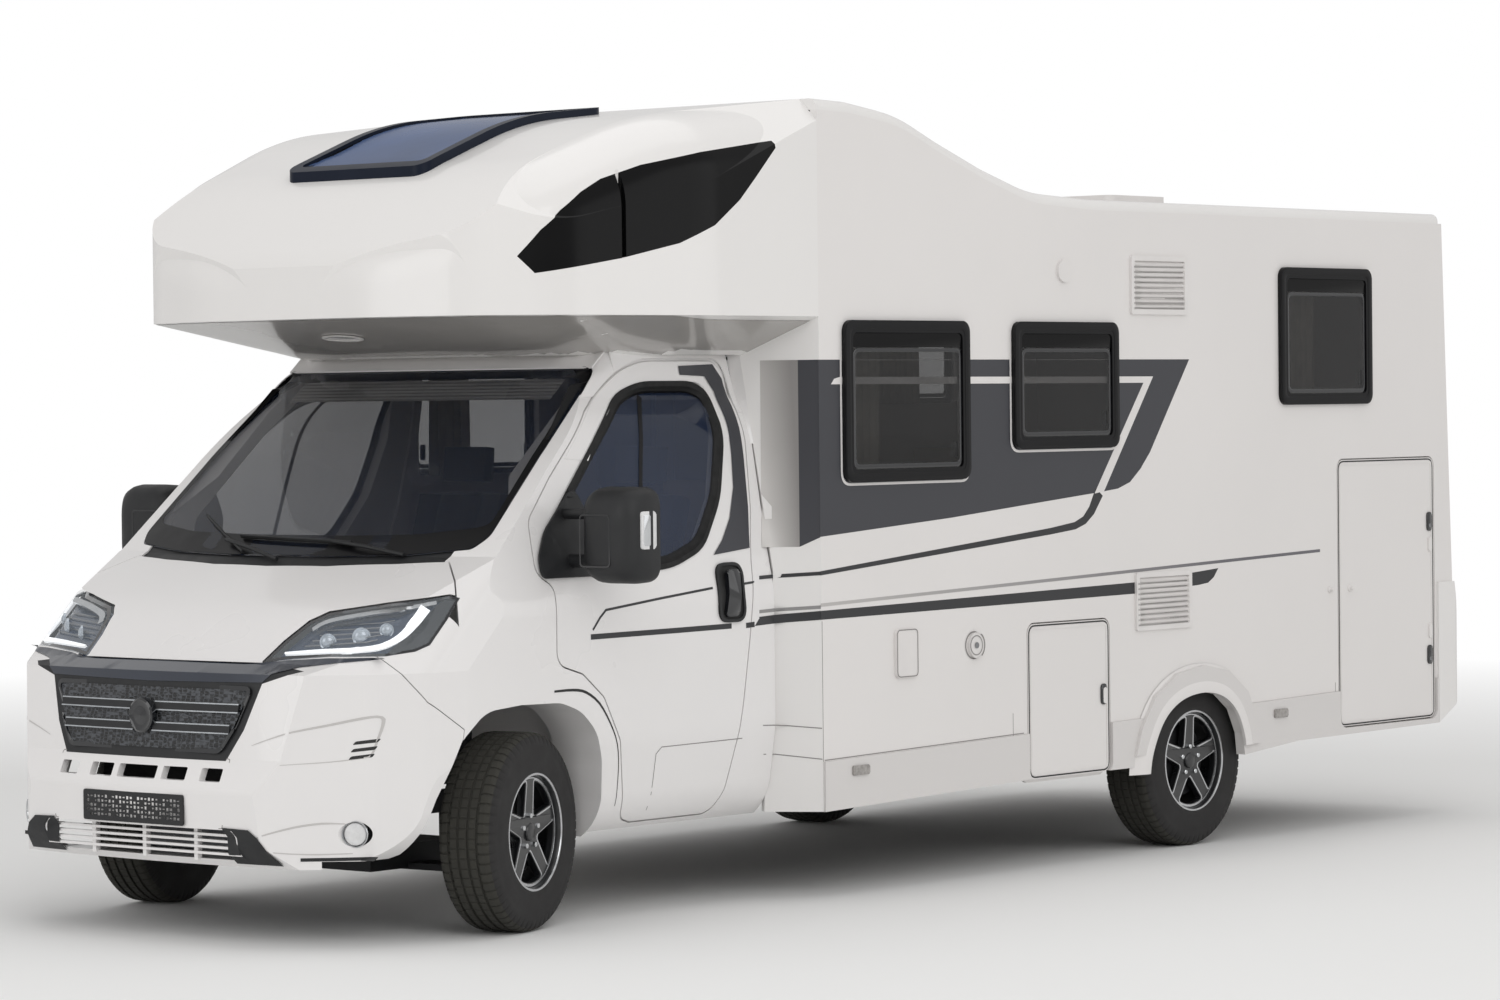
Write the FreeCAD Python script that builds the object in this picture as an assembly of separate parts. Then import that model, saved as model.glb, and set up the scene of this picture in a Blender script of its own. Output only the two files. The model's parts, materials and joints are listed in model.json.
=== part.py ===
import FreeCAD, Part
import math
import os
from FreeCAD import Vector

os.makedirs("parts", exist_ok=True)

# All sizes are in millimetres. While it is built, the vehicle has its front axle at y = 0, the ground
# at z = 0, its nose towards -Y and its left side at +X. Every solid is moved along Y when it is
# written, so that the origin lies under the middle of the overall length.

# overall sizes
front_reach = 985.0
rear_reach = 6077.0
wheelbase = 4035.0
body_half = 1160.0
cab_half = 1022.0
mid_y = (rear_reach - front_reach) / 2

# clearances and working values
gap = 6.0
seat = 0.3
seam = 4.0
overrun = 40.0
flat_limit = 0.02
share_of_edge = 0.49
half_share = 0.5


# small builders

def vec(axis, pos, u, v):
    if axis == "x":
        return Vector(pos, u, v)
    if axis == "y":
        return Vector(u, pos, v)
    return Vector(u, v, pos)


def at(share, low, high):
    return low + share * (high - low)


def spread(shares, low_u, high_u, low_v, high_v):
    return [(at(a, low_u, high_u), at(b, low_v, high_v)) for a, b in shares]


def corner_cut(points, i, radius):
    # where the arc at one corner starts, passes and ends
    here = Vector(points[i][0], points[i][1], 0)
    before = Vector(points[i - 1][0], points[i - 1][1], 0) - here
    after = Vector(points[(i + 1) % len(points)][0], points[(i + 1) % len(points)][1], 0) - here
    angle = before.getAngle(after)
    reach = min(before.Length, after.Length) * share_of_edge
    if radius <= 0 or abs(math.sin(angle)) < flat_limit:
        return here, here, here, False
    cut = min(radius / math.tan(angle / 2), reach)
    before.normalize()
    after.normalize()
    bisect = before + after
    bisect.normalize()
    arc_radius = cut * math.tan(angle / 2)
    middle = here + bisect * (arc_radius / math.sin(angle / 2) - arc_radius)
    return here + before * cut, middle, here + after * cut, True


def rounded_wire(points, axis, pos, radius):
    # a closed outline of straight lines whose corners are arcs; a short corner takes a smaller arc
    count = len(points)
    radii = radius if isinstance(radius, list) else [radius] * count
    cuts = [corner_cut(points, i, radii[i]) for i in range(count)]
    edges = []
    for i in range(count):
        start, middle, end, bent = cuts[i]
        lifted = [vec(axis, pos, p.x, p.y) for p in (start, middle, end, cuts[(i + 1) % count][0])]
        if bent:
            edges.append(Part.Arc(lifted[0], lifted[1], lifted[2]).toShape())
        if (lifted[3] - lifted[2]).Length > flat_limit:
            edges.append(Part.makeLine(lifted[2], lifted[3]))
    return Part.Wire(edges)


def prism(points, axis, low, high, radius=0, grow=0):
    face = Part.Face(rounded_wire(points, axis, low, radius))
    if grow:
        face = face.makeOffset2D(grow, 2)
    return face.extrude(vec(axis, high - low, 0, 0))


def ring_prism(points, axis, low, high, radius, inset):
    return prism(points, axis, low, high, radius).cut(prism(points, axis, low, high, radius, -inset))


def slanted(points, outer, inner, grow=0):
    # a level prism that enters the left front corner at 45 degrees; a point is (x + y, z)
    wire = Part.makePolygon([Vector(u / 2 + outer, u / 2 - outer, v) for u, v in points + points[:1]])
    face = Part.Face(wire)
    if grow:
        face = face.makeOffset2D(grow, 2)
    return face.extrude(Vector(inner - outer, outer - inner, 0))


def block(low_x, high_x, low_y, high_y, low_z, high_z):
    return Part.makeBox(high_x - low_x, high_y - low_y, high_z - low_z, Vector(low_x, low_y, low_z))


def rod(radius, axis, u, v, low, high):
    return Part.makeCylinder(radius, high - low, vec(axis, low, u, v), vec(axis, 1, 0, 0))


def strut(radius, start, end):
    return Part.makeCylinder(radius, (end - start).Length, start, end - start)


def rectangle(low_u, high_u, low_v, high_v):
    return [(low_u, low_v), (high_u, low_v), (high_u, high_v), (low_u, high_v)]


def mirror(shape):
    return shape.mirror(Vector(0, 0, 0), Vector(1, 0, 0))


def both(shape):
    return [shape, mirror(shape)]


def fused(shapes):
    return shapes[0].fuse(shapes[1:]).removeSplitter() if len(shapes) > 1 else shapes[0]


def export(name, shape):
    moved = shape.copy()
    moved.translate(Vector(0, -mid_y, 0))
    moved.exportStep("parts/" + name + ".step")


def export_pair(name, shape):
    export(name + "_left", shape)
    export(name + "_right", mirror(shape))


def group(shapes):
    return Part.makeCompound(shapes)


# the cab: its front profile turned about a far upright axis for the bow, then trimmed by the side
# section and by the corner outline, which leans back above the grille
cab_low = 280.0
cab_high = 2080.0
cab_back = 1370.0
cab_skin = 28.0
door_thick = 62.0
bow_centre = 4400.0
bow_angle = 44.0
corner_lean_from = 960.0
corner_lean_share = 1.0
profile_soft = 60.0
bonnet_soft = 900.0
side_soft = 420.0
corner_soft = 180.0

# front profile: share of the front reach, share of the cab's height
profile_shares = [
    (-0.914, 0.000), (-0.990, 0.045), (-1.000, 0.150), (-0.950, 0.212), (-0.899, 0.378), (-0.812, 0.398),
    (-0.600, 0.493), (-0.275, 0.587), (-0.238, 0.598), (0.152, 0.794), (0.590, 1.000),
]
# side section: share of the half-width, share of the cab's height
side_shares = [(0.944, 0.000), (1.004, 0.215), (1.004, 0.500), (0.963, 0.612), (0.845, 1.000)]
# corner outline: share of the half-width, share of the front reach
corner_shares = [(0.34, -1.06), (0.60, -0.955), (0.885, -0.69), (0.99, -0.50), (1.012, -0.22)]


def cab_side_ring(inset):
    side = [(cab_half * a - inset, at(b, cab_low, cab_high)) for a, b in side_shares]
    return side + [(-a, b) for a, b in reversed(side)]


def cab_volume(front_inset, side_inset, back, plain=False):
    profile = [(front_reach * a, at(b, cab_low, cab_high)) for a, b in profile_shares]
    profile += [(cab_back + front_reach, cab_high), (cab_back + front_reach, cab_low)]
    soft = [0, profile_soft, profile_soft, 0, 0, 0, bonnet_soft, profile_soft]
    soft = 0 if plain else soft + [0] * (len(profile) - len(soft))
    face = Part.Face(rounded_wire(profile, "x", 0, soft))
    if front_inset:
        face = face.makeOffset2D(-front_inset, 2)
    axis_point = Vector(0, bow_centre, 0)
    face.rotate(axis_point, Vector(0, 0, 1), -bow_angle / 2)
    bowed = face.revolve(axis_point, Vector(0, 0, 1), bow_angle)
    section = prism(cab_side_ring(side_inset), "y", -front_reach - overrun, back, 0 if plain else side_soft)
    corner = [(cab_half * a - side_inset, front_reach * b + front_inset) for a, b in corner_shares]
    corner.append((corner[-1][0], cab_back + front_reach))
    ring = corner + [(-a, b) for a, b in reversed(corner)]
    plan = Part.Face(rounded_wire(ring, "z", corner_lean_from, 0 if plain else corner_soft))
    rise = cab_high - corner_lean_from
    upper = plan.extrude(Vector(0, rise * corner_lean_share, rise))
    lower = plan.extrude(Vector(0, 0, cab_low - corner_lean_from))
    trimmed = bowed.common(section)
    return trimmed.common(upper).fuse(trimmed.common(lower)).removeSplitter()


# openings of the cab's panels, each an outline in shares of its own reach
screen_half, screen_low, screen_top = 905.0, 1350.0, 2040.0
screen_edge_shares = [
    (0.30, 0.0), (0.66, 0.01), (0.96, 0.045), (1.0, 0.11), (0.955, 0.565), (0.905, 0.96), (0.87, 1.0),
]
screen_thick = 6.0
screen_soft = 40.0

door_front, door_rear, door_low, door_top = 67.0, 1330.0, 351.0, 2060.0
door_hinge = 146.0
door_edge_shares = [
    (0.066, 0.356), (0.066, 0.52), (0.0, 0.55), (0.0, 0.66), (0.114, 0.749), (0.323, 0.888), (0.512, 0.974),
    (0.63, 1.0), (0.955, 1.0), (0.998, 0.95), (1.0, 0.82), (0.98, 0.67), (0.946, 0.555), (0.914, 0.379),
    (0.883, 0.247), (0.822, 0.05), (0.789, 0.0), (0.444, 0.0), (0.383, 0.012), (0.333, 0.184),
    (0.264, 0.28),
    (0.173, 0.333),
]
door_soft = 60.0
door_reach = 766.0
pane_front, pane_rear, pane_low, pane_high = 185.0, 1195.0, 1284.0, 1970.0
pane_edge_shares = [
    (0.0, 0.27), (0.325, 0.745), (0.49, 0.94), (0.64, 1.0), (0.925, 1.0), (1.0, 0.95), (1.0, 0.70),
    (0.93, 0.37),
    (0.80, 0.11), (0.62, 0.02), (0.43, 0.0), (0.0, 0.06),
]
pane_inset = 8.0
pane_thick = 5.0

lamp_in, lamp_out, lamp_low, lamp_high = -308.0, 674.0, 998.0, 1224.0
lamp_top_shares = [(0.0, 0.0), (0.106, 0.30), (0.234, 0.60), (0.337, 0.74), (0.644, 0.885), (0.948, 1.0)]
lamp_low_shares = [
    (1.0, 0.965), (0.932, 0.633), (0.842, 0.257), (0.766, 0.164), (0.614, 0.106), (0.337, 0.102),
    (0.132, 0.045),
]
lamp_outer_reach, lamp_inner_reach = 950.0, 500.0

bonnet_edge_shares = [
    (0.0, -0.87), (0.459, -0.86), (0.59, -0.62), (0.975, -0.345), (0.800, -0.199), (0.59, -0.25),
    (0.29, -0.30),
    (0.0, -0.315),
]
bumper_edge_shares = [(-0.70, 0.427), (-0.646, 0.412), (-0.510, 0.320), (-0.345, 0.262)]

grille_half, grille_low, grille_high = 547.0, 655.0, 990.0
grille_edge_shares = [(0.766, 0.0), (0.89, 0.33), (1.0, 0.815), (1.28, 0.95), (1.0, 1.0)]
grille_edge = 42.0
grille_depth = 70.0
grille_bars = 6
grille_bar = 10.0
grille_top = 62.0
grille_front = -880.0
badge_radius = 46.0

intake_half, intake_low, intake_high = 500.0, 305.0, 415.0
intake_slats = 4
slat_high, slat_front = 9.0, -935.0
plate_half, plate_low, plate_high, plate_thick = 268.0, 405.0, 555.0, 12.0
hole_row_low, hole_row_high = 582.0, 628.0
fog_place, fog_height, fog_radius = 858.0, 403.0, 44.0
hole_row_shares = [(-0.84, -0.64), (-0.50, -0.26), (-0.20, 0.20), (0.26, 0.50), (0.64, 0.84)]

arch_front, arch_back, arch_low, arch_top = -566.0, 417.0, 282.0, 823.0
arch_edge_shares = [
    (0.0, -0.20), (0.0, 0.0), (0.063, 0.236), (0.106, 0.425), (0.224, 0.804), (0.345, 0.974), (0.53, 1.0),
    (0.745, 0.993),
    (0.854, 0.926), (0.935, 0.789), (0.977, 0.582), (0.997, 0.309), (1.0, 0.05), (1.0, -0.20),
]
liner_thick = 5.0
liner_inner = 790.0

cab_floor_low, cab_floor_thick = 545.0, 25.0
nose_rail_front, nose_rail_low, nose_rail_high = -800.0, 400.0, 480.0
cab_floor_half = 900.0
footwell_front = 430.0
sill_low = 300.0
bulk_drop = 140.0
stop_wide, stop_thick = 16.0, 14.0
cowl_half, cowl_front, cowl_rear, cowl_low, cowl_high = 800.0, -330.0, -120.0, 1225.0, 1420.0
cowl_sink = 6.0


def door_outline():
    return spread(door_edge_shares, door_front, door_rear, door_low, door_top)


def pane_outline():
    return spread(pane_edge_shares, pane_front, pane_rear, pane_low, pane_high)


def arch_outline():
    return spread(arch_edge_shares, arch_front, arch_back, arch_low, arch_top)


def lamp_outline():
    return spread(lamp_top_shares + lamp_low_shares, lamp_in, lamp_out, lamp_low, lamp_high)


def below_lamp_outline():
    top = spread(lamp_top_shares + lamp_low_shares[:1], lamp_in, lamp_out, lamp_low, lamp_high)
    return top + [(lamp_out, cab_low), (lamp_in, cab_low)]


def mirrored_ring(shares, half, low, high):
    right = [(half * a, at(b, low, high)) for a, b in shares]
    return right + [(-a, b) for a, b in reversed(right)]


def bonnet_tool(grow):
    left = [(cab_half * a, front_reach * b) for a, b in bonnet_edge_shares]
    ring = left + [(-a, b) for a, b in reversed(left[1:-1])]
    return prism(ring, "z", corner_lean_from, cab_high, 0, grow)


def screen_tool(grow):
    ring = mirrored_ring(screen_edge_shares, screen_half, screen_low, screen_top)
    margin = stop_wide + gap + seam - grow
    doors = both(prism(door_outline(), "x", door_reach, body_half, door_soft, margin))
    return prism(ring, "y", -front_reach, cab_back / 2 + overrun, screen_soft, grow).cut(doors)


def grille_tool(grow):
    ring = mirrored_ring(grille_edge_shares, grille_half, grille_low, grille_high)
    return prism(ring, "y", -front_reach - overrun, -front_reach / 2, 0, grow)


def bumper_tool(grow):
    edge = [(front_reach * a, at(b, cab_low, cab_high)) for a, b in bumper_edge_shares]
    arch = [p for p in arch_outline() if p[0] < edge[-1][0] and p[1] < edge[-1][1]]
    ring = [(-front_reach - overrun, edge[0][1])] + edge + list(reversed(arch)) + [(-front_reach - overrun,
                                                                                    arch[0][1])]
    return prism(ring, "x", -body_half, body_half, 0, grow)


def cowl_tool(grow):
    return prism(rectangle(-cowl_half, cowl_half, cowl_front, cowl_rear), "z", cowl_low, cowl_high, 0, grow)


def lamp_tools(grow):
    return both(slanted(lamp_outline(), lamp_outer_reach, lamp_inner_reach, grow))


def below_lamp_tools(grow):
    return both(slanted(below_lamp_outline(), lamp_outer_reach, lamp_inner_reach, grow))


def bulk_line():
    # the wall between engine and cab from the floor to below the windscreen, seen from the side
    return [
        (footwell_front, cab_floor_low), (footwell_front, arch_top + overrun), (0, arch_top + 2 * overrun),
        (-overrun, screen_low - bulk_drop),
    ]


def bulk_back_line():
    sheet = cab_floor_thick
    return [(a + sheet, b + (sheet if b > cab_floor_low else 0)) for a, b in bulk_line()]


def door_stop():
    # the inner lip that the cab door closes against; none ahead of the hinge, where the door swings inwards
    outer = prism(cab_side_ring(door_thick), "y", 0, cab_back)
    inner = prism(cab_side_ring(door_thick + stop_thick), "y", -overrun, cab_back + overrun)
    lip = prism(door_outline(), "x", door_reach, body_half, door_soft, stop_wide + gap)
    lip = lip.cut(prism(door_outline(), "x", door_reach, body_half, door_soft, -stop_wide))
    slit = outer.cut(prism(cab_side_ring(door_thick + seat), "y", -overrun, cab_back + overrun))
    room = prism(door_outline(), "x", door_reach, body_half, door_soft, gap)
    front = block(0, body_half, 0, door_hinge + stop_wide, 0, cab_high)
    return outer.cut(inner).common(lip).cut([slit.common(room), front])


def largest(shape):
    return sorted(shape.Solids, key=lambda solid: solid.Volume)[-1]


def belly_tool(front):
    # the open underside of the cab
    return block(-cab_floor_half, cab_floor_half, front, cab_back + overrun, 0, cab_low + cab_skin + seat)


def make_cab_shell():
    tools = door_tools + [bonnet_tool(gap), screen_tool(seat), grille_tool(seat), bumper_tool(seam),
                          cowl_tool(seat)]
    under = block(-body_half, body_half, -front_reach - overrun, cab_back + overrun, 0, sill_low)
    lining = prism(arch_outline(), "x", liner_inner, cab_half, corner_soft, liner_thick).common(cab_outer)
    lining = lining.cut(bumper_tool(seam))
    floor = block(-cab_floor_half, cab_floor_half, footwell_front, cab_back, cab_floor_low,
                  cab_floor_low + cab_floor_thick)
    wall = prism(bulk_line() + bulk_back_line()[::-1], "x", -cab_half, cab_half)
    margin = cab_half - door_thick - 2 * stop_thick
    wall = wall.cut(both(prism(door_outline(), "x", margin, body_half, door_soft, stop_wide + gap)))
    tower = block(strut_place - spring_radius, strut_place + spring_radius, -overrun, spring_radius,
                  strut_top + seat,
                  arch_top + 2 * overrun)
    skin = cab_wall.cut(tools + lamp_tools(seat))
    whole = fused([skin, floor.common(cab_outer),
                   wall.common(cab_outer)] + both(lining) + both(tower) + both(door_stop()))
    return largest(whole.cut(arch_tools + [under, belly_tool(-front_reach)]))


def make_bumper():
    tools = lamp_tools(seat) + arch_tools + [grille_tool(seat), bonnet_tool(gap),
                                             belly_tool(nose_rail_front)]
    body = cab_wall.common(bumper_tool(0)).cut(tools)
    slot = rectangle(-intake_half, intake_half, intake_low, intake_high)
    tools = [prism(slot, "y", -front_reach - overrun, -front_reach / 2, screen_soft)]
    for low, high in hole_row_shares:
        hole = rectangle(intake_half * low, intake_half * high, hole_row_low, hole_row_high)
        tools.append(prism(hole, "y", -front_reach - overrun, -front_reach / 2, gap))
    tools += both(rod(fog_radius, "y", fog_place, fog_height, -front_reach - overrun, arch_front - overrun))
    slats = []
    step = (intake_high - intake_low) / (intake_slats + 1)
    for i in range(intake_slats):
        low = intake_low + step * (i + 1) - slat_high / 2
        slats.append(block(-intake_half - gap, intake_half + gap, slat_front, slat_front + cab_skin, low,
                           low + slat_high))
    for place in (-plate_half, 0, plate_half):
        slats.append(block(place - slat_high, place + slat_high, slat_front + gap, slat_front + cab_skin,
                           intake_low - gap,
                           intake_high + gap))
    return fused([body.cut(tools)] + slats)


def make_grille():
    rim = cab_outer.common(grille_tool(0)).cut(cab_volume(grille_depth, door_thick, cab_back, True))
    ring = mirrored_ring(grille_edge_shares[:3], grille_half, grille_low, grille_high - grille_top)
    face = -front_reach - overrun
    opening = prism(ring, "y", face, -front_reach / 2, 0, -grille_edge)
    reach = opening.common(block(-grille_half, grille_half, grille_front, grille_front + grille_bar,
                                 grille_low, grille_high))
    bars = []
    step = (grille_high - grille_top - grille_low) / grille_bars
    for i in range(grille_bars):
        low = grille_low + step * (i + half_share)
        bars.append(reach.common(block(-grille_half, grille_half, face, 0, low, low + grille_bar)))
    middle = (grille_low + grille_high - grille_top) / 2
    boss = rod(badge_radius, "y", 0, middle, grille_front - grille_bar, grille_front + grille_bar)
    for place in (-grille_half * half_share, 0, grille_half * half_share):
        bars.append(reach.common(block(place - grille_bar / 2, place + grille_bar / 2, face, 0, grille_low,
                                       grille_high)))
    return fused([rim.cut(opening), boss] + bars).cut(lamp_tools(seat))


def make_door():
    leaf = largest(cab_wall.common(prism(door_outline(), "x", door_reach, body_half, door_soft)))
    return leaf.cut(prism(pane_outline(), "x", cab_half / 2, body_half, door_soft))


def make_pane():
    outer = prism(cab_side_ring(pane_inset), "y", -front_reach, cab_back, side_soft)
    inner = prism(cab_side_ring(pane_inset + pane_thick), "y", -front_reach, cab_back, side_soft)
    return outer.cut(inner).common(prism(pane_outline(), "x", cab_half / 2, body_half, door_soft))


# the alcove over the cab
alcove_low = 2222.0
alcove_top = 3052.0
alcove_nose = -205.0
alcove_back = 1490.0
alcove_skin = 34.0
room_share = 0.6
alcove_round = 260.0
# the flat of the rear shoulder: a point (x, y, z) at its rear and at its front end
shoulder_rear, shoulder_front = (1118.0, 1490.0, 3010.0), (975.0, 522.0, 2766.0)
alcove_plan_shares = [(0.40, 0.0), (0.72, 0.060), (0.90, 0.22), (1.0, 0.62), (1.0, 1.0)]
alcove_plan_soft = [900.0, 300.0, 500.0, 900.0, 0.0]
alcove_profile_shares = [(0.0, 0.0), (-0.012, 0.25), (0.19, 0.625), (0.535, 0.895), (1.0, 1.0)]
alcove_profile_soft = [0.0, 350.0, 900.0, 1500.0, 0.0, 0.0]
upright_share = 0.95
level_share = 0.001
soffit_front, soffit_half, soffit_skin = 470.0, 872.0, 20.0


def plan_ring(shares, half, front, back, inset):
    left = [(half * a - inset, at(b, front, back) + (inset if b < 1 else overrun * (inset > 0))) for a,
            b in shares]
    return left + [(-a, b) for a, b in reversed(left)]


def crest_prism(inset):
    places = spread(alcove_profile_shares, alcove_nose, alcove_back, alcove_low, alcove_top)
    places = [(a + inset, b - inset) for a, b in places[:-1]] + [(alcove_back, alcove_top - inset),
                                                                 (alcove_back, alcove_low)]
    return prism(places, "x", -body_half - overrun, body_half + overrun, alcove_profile_soft)


def crest_edges(solid):
    # the edges between the upright sides and the crest, away from the open back
    edges = []
    for edge in solid.Edges:
        ends = [v.Point for v in edge.Vertexes]
        if min(p.z for p in ends) < alcove_low + seam or all(p.y > alcove_back - seam for p in ends):
            continue
        upright = []
        for face in solid.Faces:
            if any(edge.isSame(other) for other in face.Edges):
                u_low, u_high, v_low, v_high = face.ParameterRange
                upright.append(abs(face.normalAt((u_low + u_high) / 2,
                                                 (v_low + v_high) / 2).z) < level_share)
        if any(upright) and not all(upright):
            edges.append(edge)
    return edges


def below_shoulder():
    # everything inside the flat that turns the round side edge into a tight one at the rear
    rear, front = Vector(*shoulder_rear), Vector(*shoulder_front)
    along = rear - front
    across = Vector(1, 0, -1) * body_half
    inward = along.cross(across)
    inward.normalize()
    ring = [front - along + across, rear + along + across, rear + along - across, front - along - across]
    return Part.Face(Part.makePolygon(ring + ring[:1])).extrude(inward * 2 * body_half)


def alcove_half(inset, crest_inset):
    soft = alcove_plan_soft + alcove_plan_soft[::-1]
    ring = plan_ring(alcove_plan_shares, body_half, alcove_nose, alcove_back, inset)
    upright = prism(ring, "z", alcove_low, alcove_top + overrun, 0 if inset else soft)
    return upright.common(crest_prism(crest_inset))


def alcove_volume():
    # rounded all along its upper edge, with a tighter shoulder towards the rear
    square = alcove_half(0, 0)
    return square.makeFillet(alcove_round, crest_edges(square)).fuse(
        square.common(below_shoulder()).common(mirror(below_shoulder()))).removeSplitter()


def alcove_room():
    # the room inside, narrower at the top and lower at the sides, so that it stays inside the rounding
    return alcove_half(alcove_skin, alcove_round * room_share).fuse(alcove_half(alcove_round * room_share,
                                                                                alcove_skin))


def soffit_volume(inset):
    soft = alcove_plan_soft + alcove_plan_soft[::-1]
    upper = plan_ring(alcove_plan_shares, body_half, alcove_nose, alcove_back, inset)
    lower = plan_ring(alcove_plan_shares, soffit_half, soffit_front, alcove_back, inset)
    wires = [rounded_wire(lower, "z", cab_high + inset, soft), rounded_wire(upper, "z", alcove_low, soft)]
    return Part.makeLoft(wires, True, True)


alcove_window_front, alcove_window_rear, alcove_window_low, alcove_window_top = 44.0, 1247.0, 2372.0, 2881.0
alcove_window_shares = [
    (0.0, 0.12), (0.043, 0.0), (0.3375, 0.112), (0.561, 0.226), (0.706, 0.361), (0.825, 0.552),
    (0.90, 0.717),
    (1.0, 0.947), (0.993, 1.0), (0.665, 0.892), (0.434, 0.786), (0.285, 0.678), (0.204, 0.58),
    (0.124, 0.448),
    (0.059, 0.305),
]
divider_place, divider_width = 450.0, 20.0

skylight_half, skylight_front, skylight_rear = 370.0, 160.0, 1170.0
skylight_rise, skylight_glass_rise, skylight_frame, skylight_soft = 26.0, 16.0, 44.0, 60.0


def alcove_window_tool(grow):
    outline = spread(alcove_window_shares, alcove_window_front, alcove_window_rear, alcove_window_low,
                     alcove_window_top)
    return prism(outline, "x", body_half / 2, body_half + overrun, 0, grow)


def make_alcove_pieces():
    shell = alcove_volume().cut(alcove_room())
    soffit = soffit_volume(0).cut(soffit_volume(soffit_skin))
    inner = rectangle(-skylight_half + skylight_frame, skylight_half - skylight_frame,
                      skylight_front + skylight_frame, skylight_rear - skylight_frame)
    hole = prism(inner, "z", alcove_low + overrun, alcove_top + overrun, skylight_soft / 2)
    walls = fused([shell, soffit]).cut([hole] + both(alcove_window_tool(seat)))
    divider = block(0, body_half + overrun, divider_place, divider_place + divider_width, alcove_low,
                    alcove_top)
    panes = both(shell.common(alcove_window_tool(0)).cut(divider))
    outer = rectangle(-skylight_half, skylight_half, skylight_front, skylight_rear)
    raised = prism(outer, "z", alcove_low, alcove_top + overrun, skylight_soft)
    frame = raised.common(crest_prism(-skylight_rise)).cut([crest_prism(0), hole])
    glass = hole.common(crest_prism(-skylight_glass_rise)).cut(crest_prism(0))
    return walls, panes, frame, glass


# the living part: walls, roof, floor and skirts
wall_thick = 32.0
wall_front = 1490.0
wall_low_front, wall_low_rear = 524.0, 620.0
roof_thick = 44.0
roof_edge_soft = 40.0
rear_top_inset, rear_low_inset = 152.0, 80.0
rear_top_place, rear_low_place = rear_reach - rear_top_inset, rear_reach - rear_low_inset
rear_low = 1050.0
roof_line_shares = [
    (0.0, 1.0), (0.045, 0.985), (0.115, 0.872), (0.172, 0.591), (0.236, 0.309), (0.308, 0.052),
    (0.40, 0.0), (1.0, 0.0),
]
roof_low, roof_high = 2712.0, 3052.0
roof_soft = [0.0, 300.0, 900.0, 900.0, 300.0, 900.0, 900.0, 0.0]
roof_rear_soft = 40.0

floor_low, floor_thick = 640.0, 45.0
floor_front = 1420.0
garage_deep = 1117.0
garage_front = rear_reach - garage_deep
garage_floor_low, garage_floor_thick = 445.0, 25.0
bed_low, bed_thick = 1640.0, 35.0
bulkhead_thick = 25.0

skirt_proud = 12.0
skirt_low_shares = [(0.0, 0.0), (0.30, 0.43), (0.64, 0.43), (0.74, 0.87), (1.0, 1.0)]
skirt_low, skirt_high = 333.0, 415.0
skirt_inset = 217.0
skirt_rear = rear_reach - skirt_inset
rear_arch_ahead, rear_arch_behind, rear_arch_low, rear_arch_top = 443.0, 276.0, 300.0, 662.0
rear_arch_front, rear_arch_rear = wheelbase - rear_arch_ahead, wheelbase + rear_arch_behind
rear_arch_shares = [
    (0.0, -0.30), (0.0, 0.16), (0.06, 0.48), (0.17, 0.76), (0.34, 0.94), (0.56, 1.0), (0.76, 0.93),
    (0.90, 0.74),
    (0.98, 0.45), (1.0, 0.16), (1.0, -0.30),
]
flare_wide = 105.0
flare_proud = 26.0
house_inner = 760.0
house_thick = 5.0

window_soft = 45.0
window_edge = 48.0
window_proud = 18.0
window_glass_sink = 6.0
window_glass_thick = 8.0
# front, rear, low and high edge of each window; the kitchen window and the doors ahead of the rear wheels
# keep their place from the wheels, the garage door and the bed window from the rear end
lounge_window = (1628.0, 2410.0, 1586.0, 2209.0)
kitchen_window_front, kitchen_window_wide = -1333.0, 711.0
kitchen_window_low, kitchen_window_high = 1697.0, 2209.0
washroom_window_front = -475.0
bed_window_front, bed_window_wide, bed_window_low, bed_window_high = -1471.0, 716.0, 1860.0, 2454.0
garage_door_front, garage_door_wide, garage_door_low, garage_door_high = -1017.0, 782.0, 443.0, 1614.0
service_front, service_wide, service_low, service_high = -1244.0, 556.0, 366.0, 991.0
entry_front, entry_wide, entry_low, entry_high = -1415.0, 650.0, 440.0, 2260.0


def placed(start, front, wide, low, high):
    return (start + front, start + front + wide, low, high)


kitchen_window = placed(wheelbase, kitchen_window_front, kitchen_window_wide, kitchen_window_low,
                        kitchen_window_high)
washroom_window = placed(wheelbase, washroom_window_front, kitchen_window_wide, kitchen_window_low,
                         kitchen_window_high)
bed_window = placed(rear_reach, bed_window_front, bed_window_wide, bed_window_low, bed_window_high)
garage_door = placed(rear_reach, garage_door_front, garage_door_wide, garage_door_low, garage_door_high)
service_door = placed(wheelbase, service_front, service_wide, service_low, service_high)
entry_door = placed(wheelbase, entry_front, entry_wide, entry_low, entry_high)
left_windows = [lounge_window, kitchen_window, bed_window]
right_windows = [lounge_window, washroom_window, bed_window]
left_hatches, right_hatches = [garage_door, service_door], [entry_door]
hatch_soft = 40.0
tongue_half = 860.0
entry_soft = 90.0
entry_window_share_low, entry_window_share_high = 0.60, 0.90
entry_window_side = 130.0
entry_glass_sink = 5.0
lock_wide, lock_high, lock_proud = 26.0, 66.0, 9.0


def wall_low_at(y):
    return at((y - wall_front) / (rear_low_place - wall_front), wall_low_front, wall_low_rear)


def roof_line():
    return spread(roof_line_shares, wall_front, rear_top_place, roof_low, roof_high)


def rear_plane(z, inset):
    share = (z - rear_low) / (roof_low - rear_low)
    return at(share, rear_low_place, rear_top_place) - inset


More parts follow.
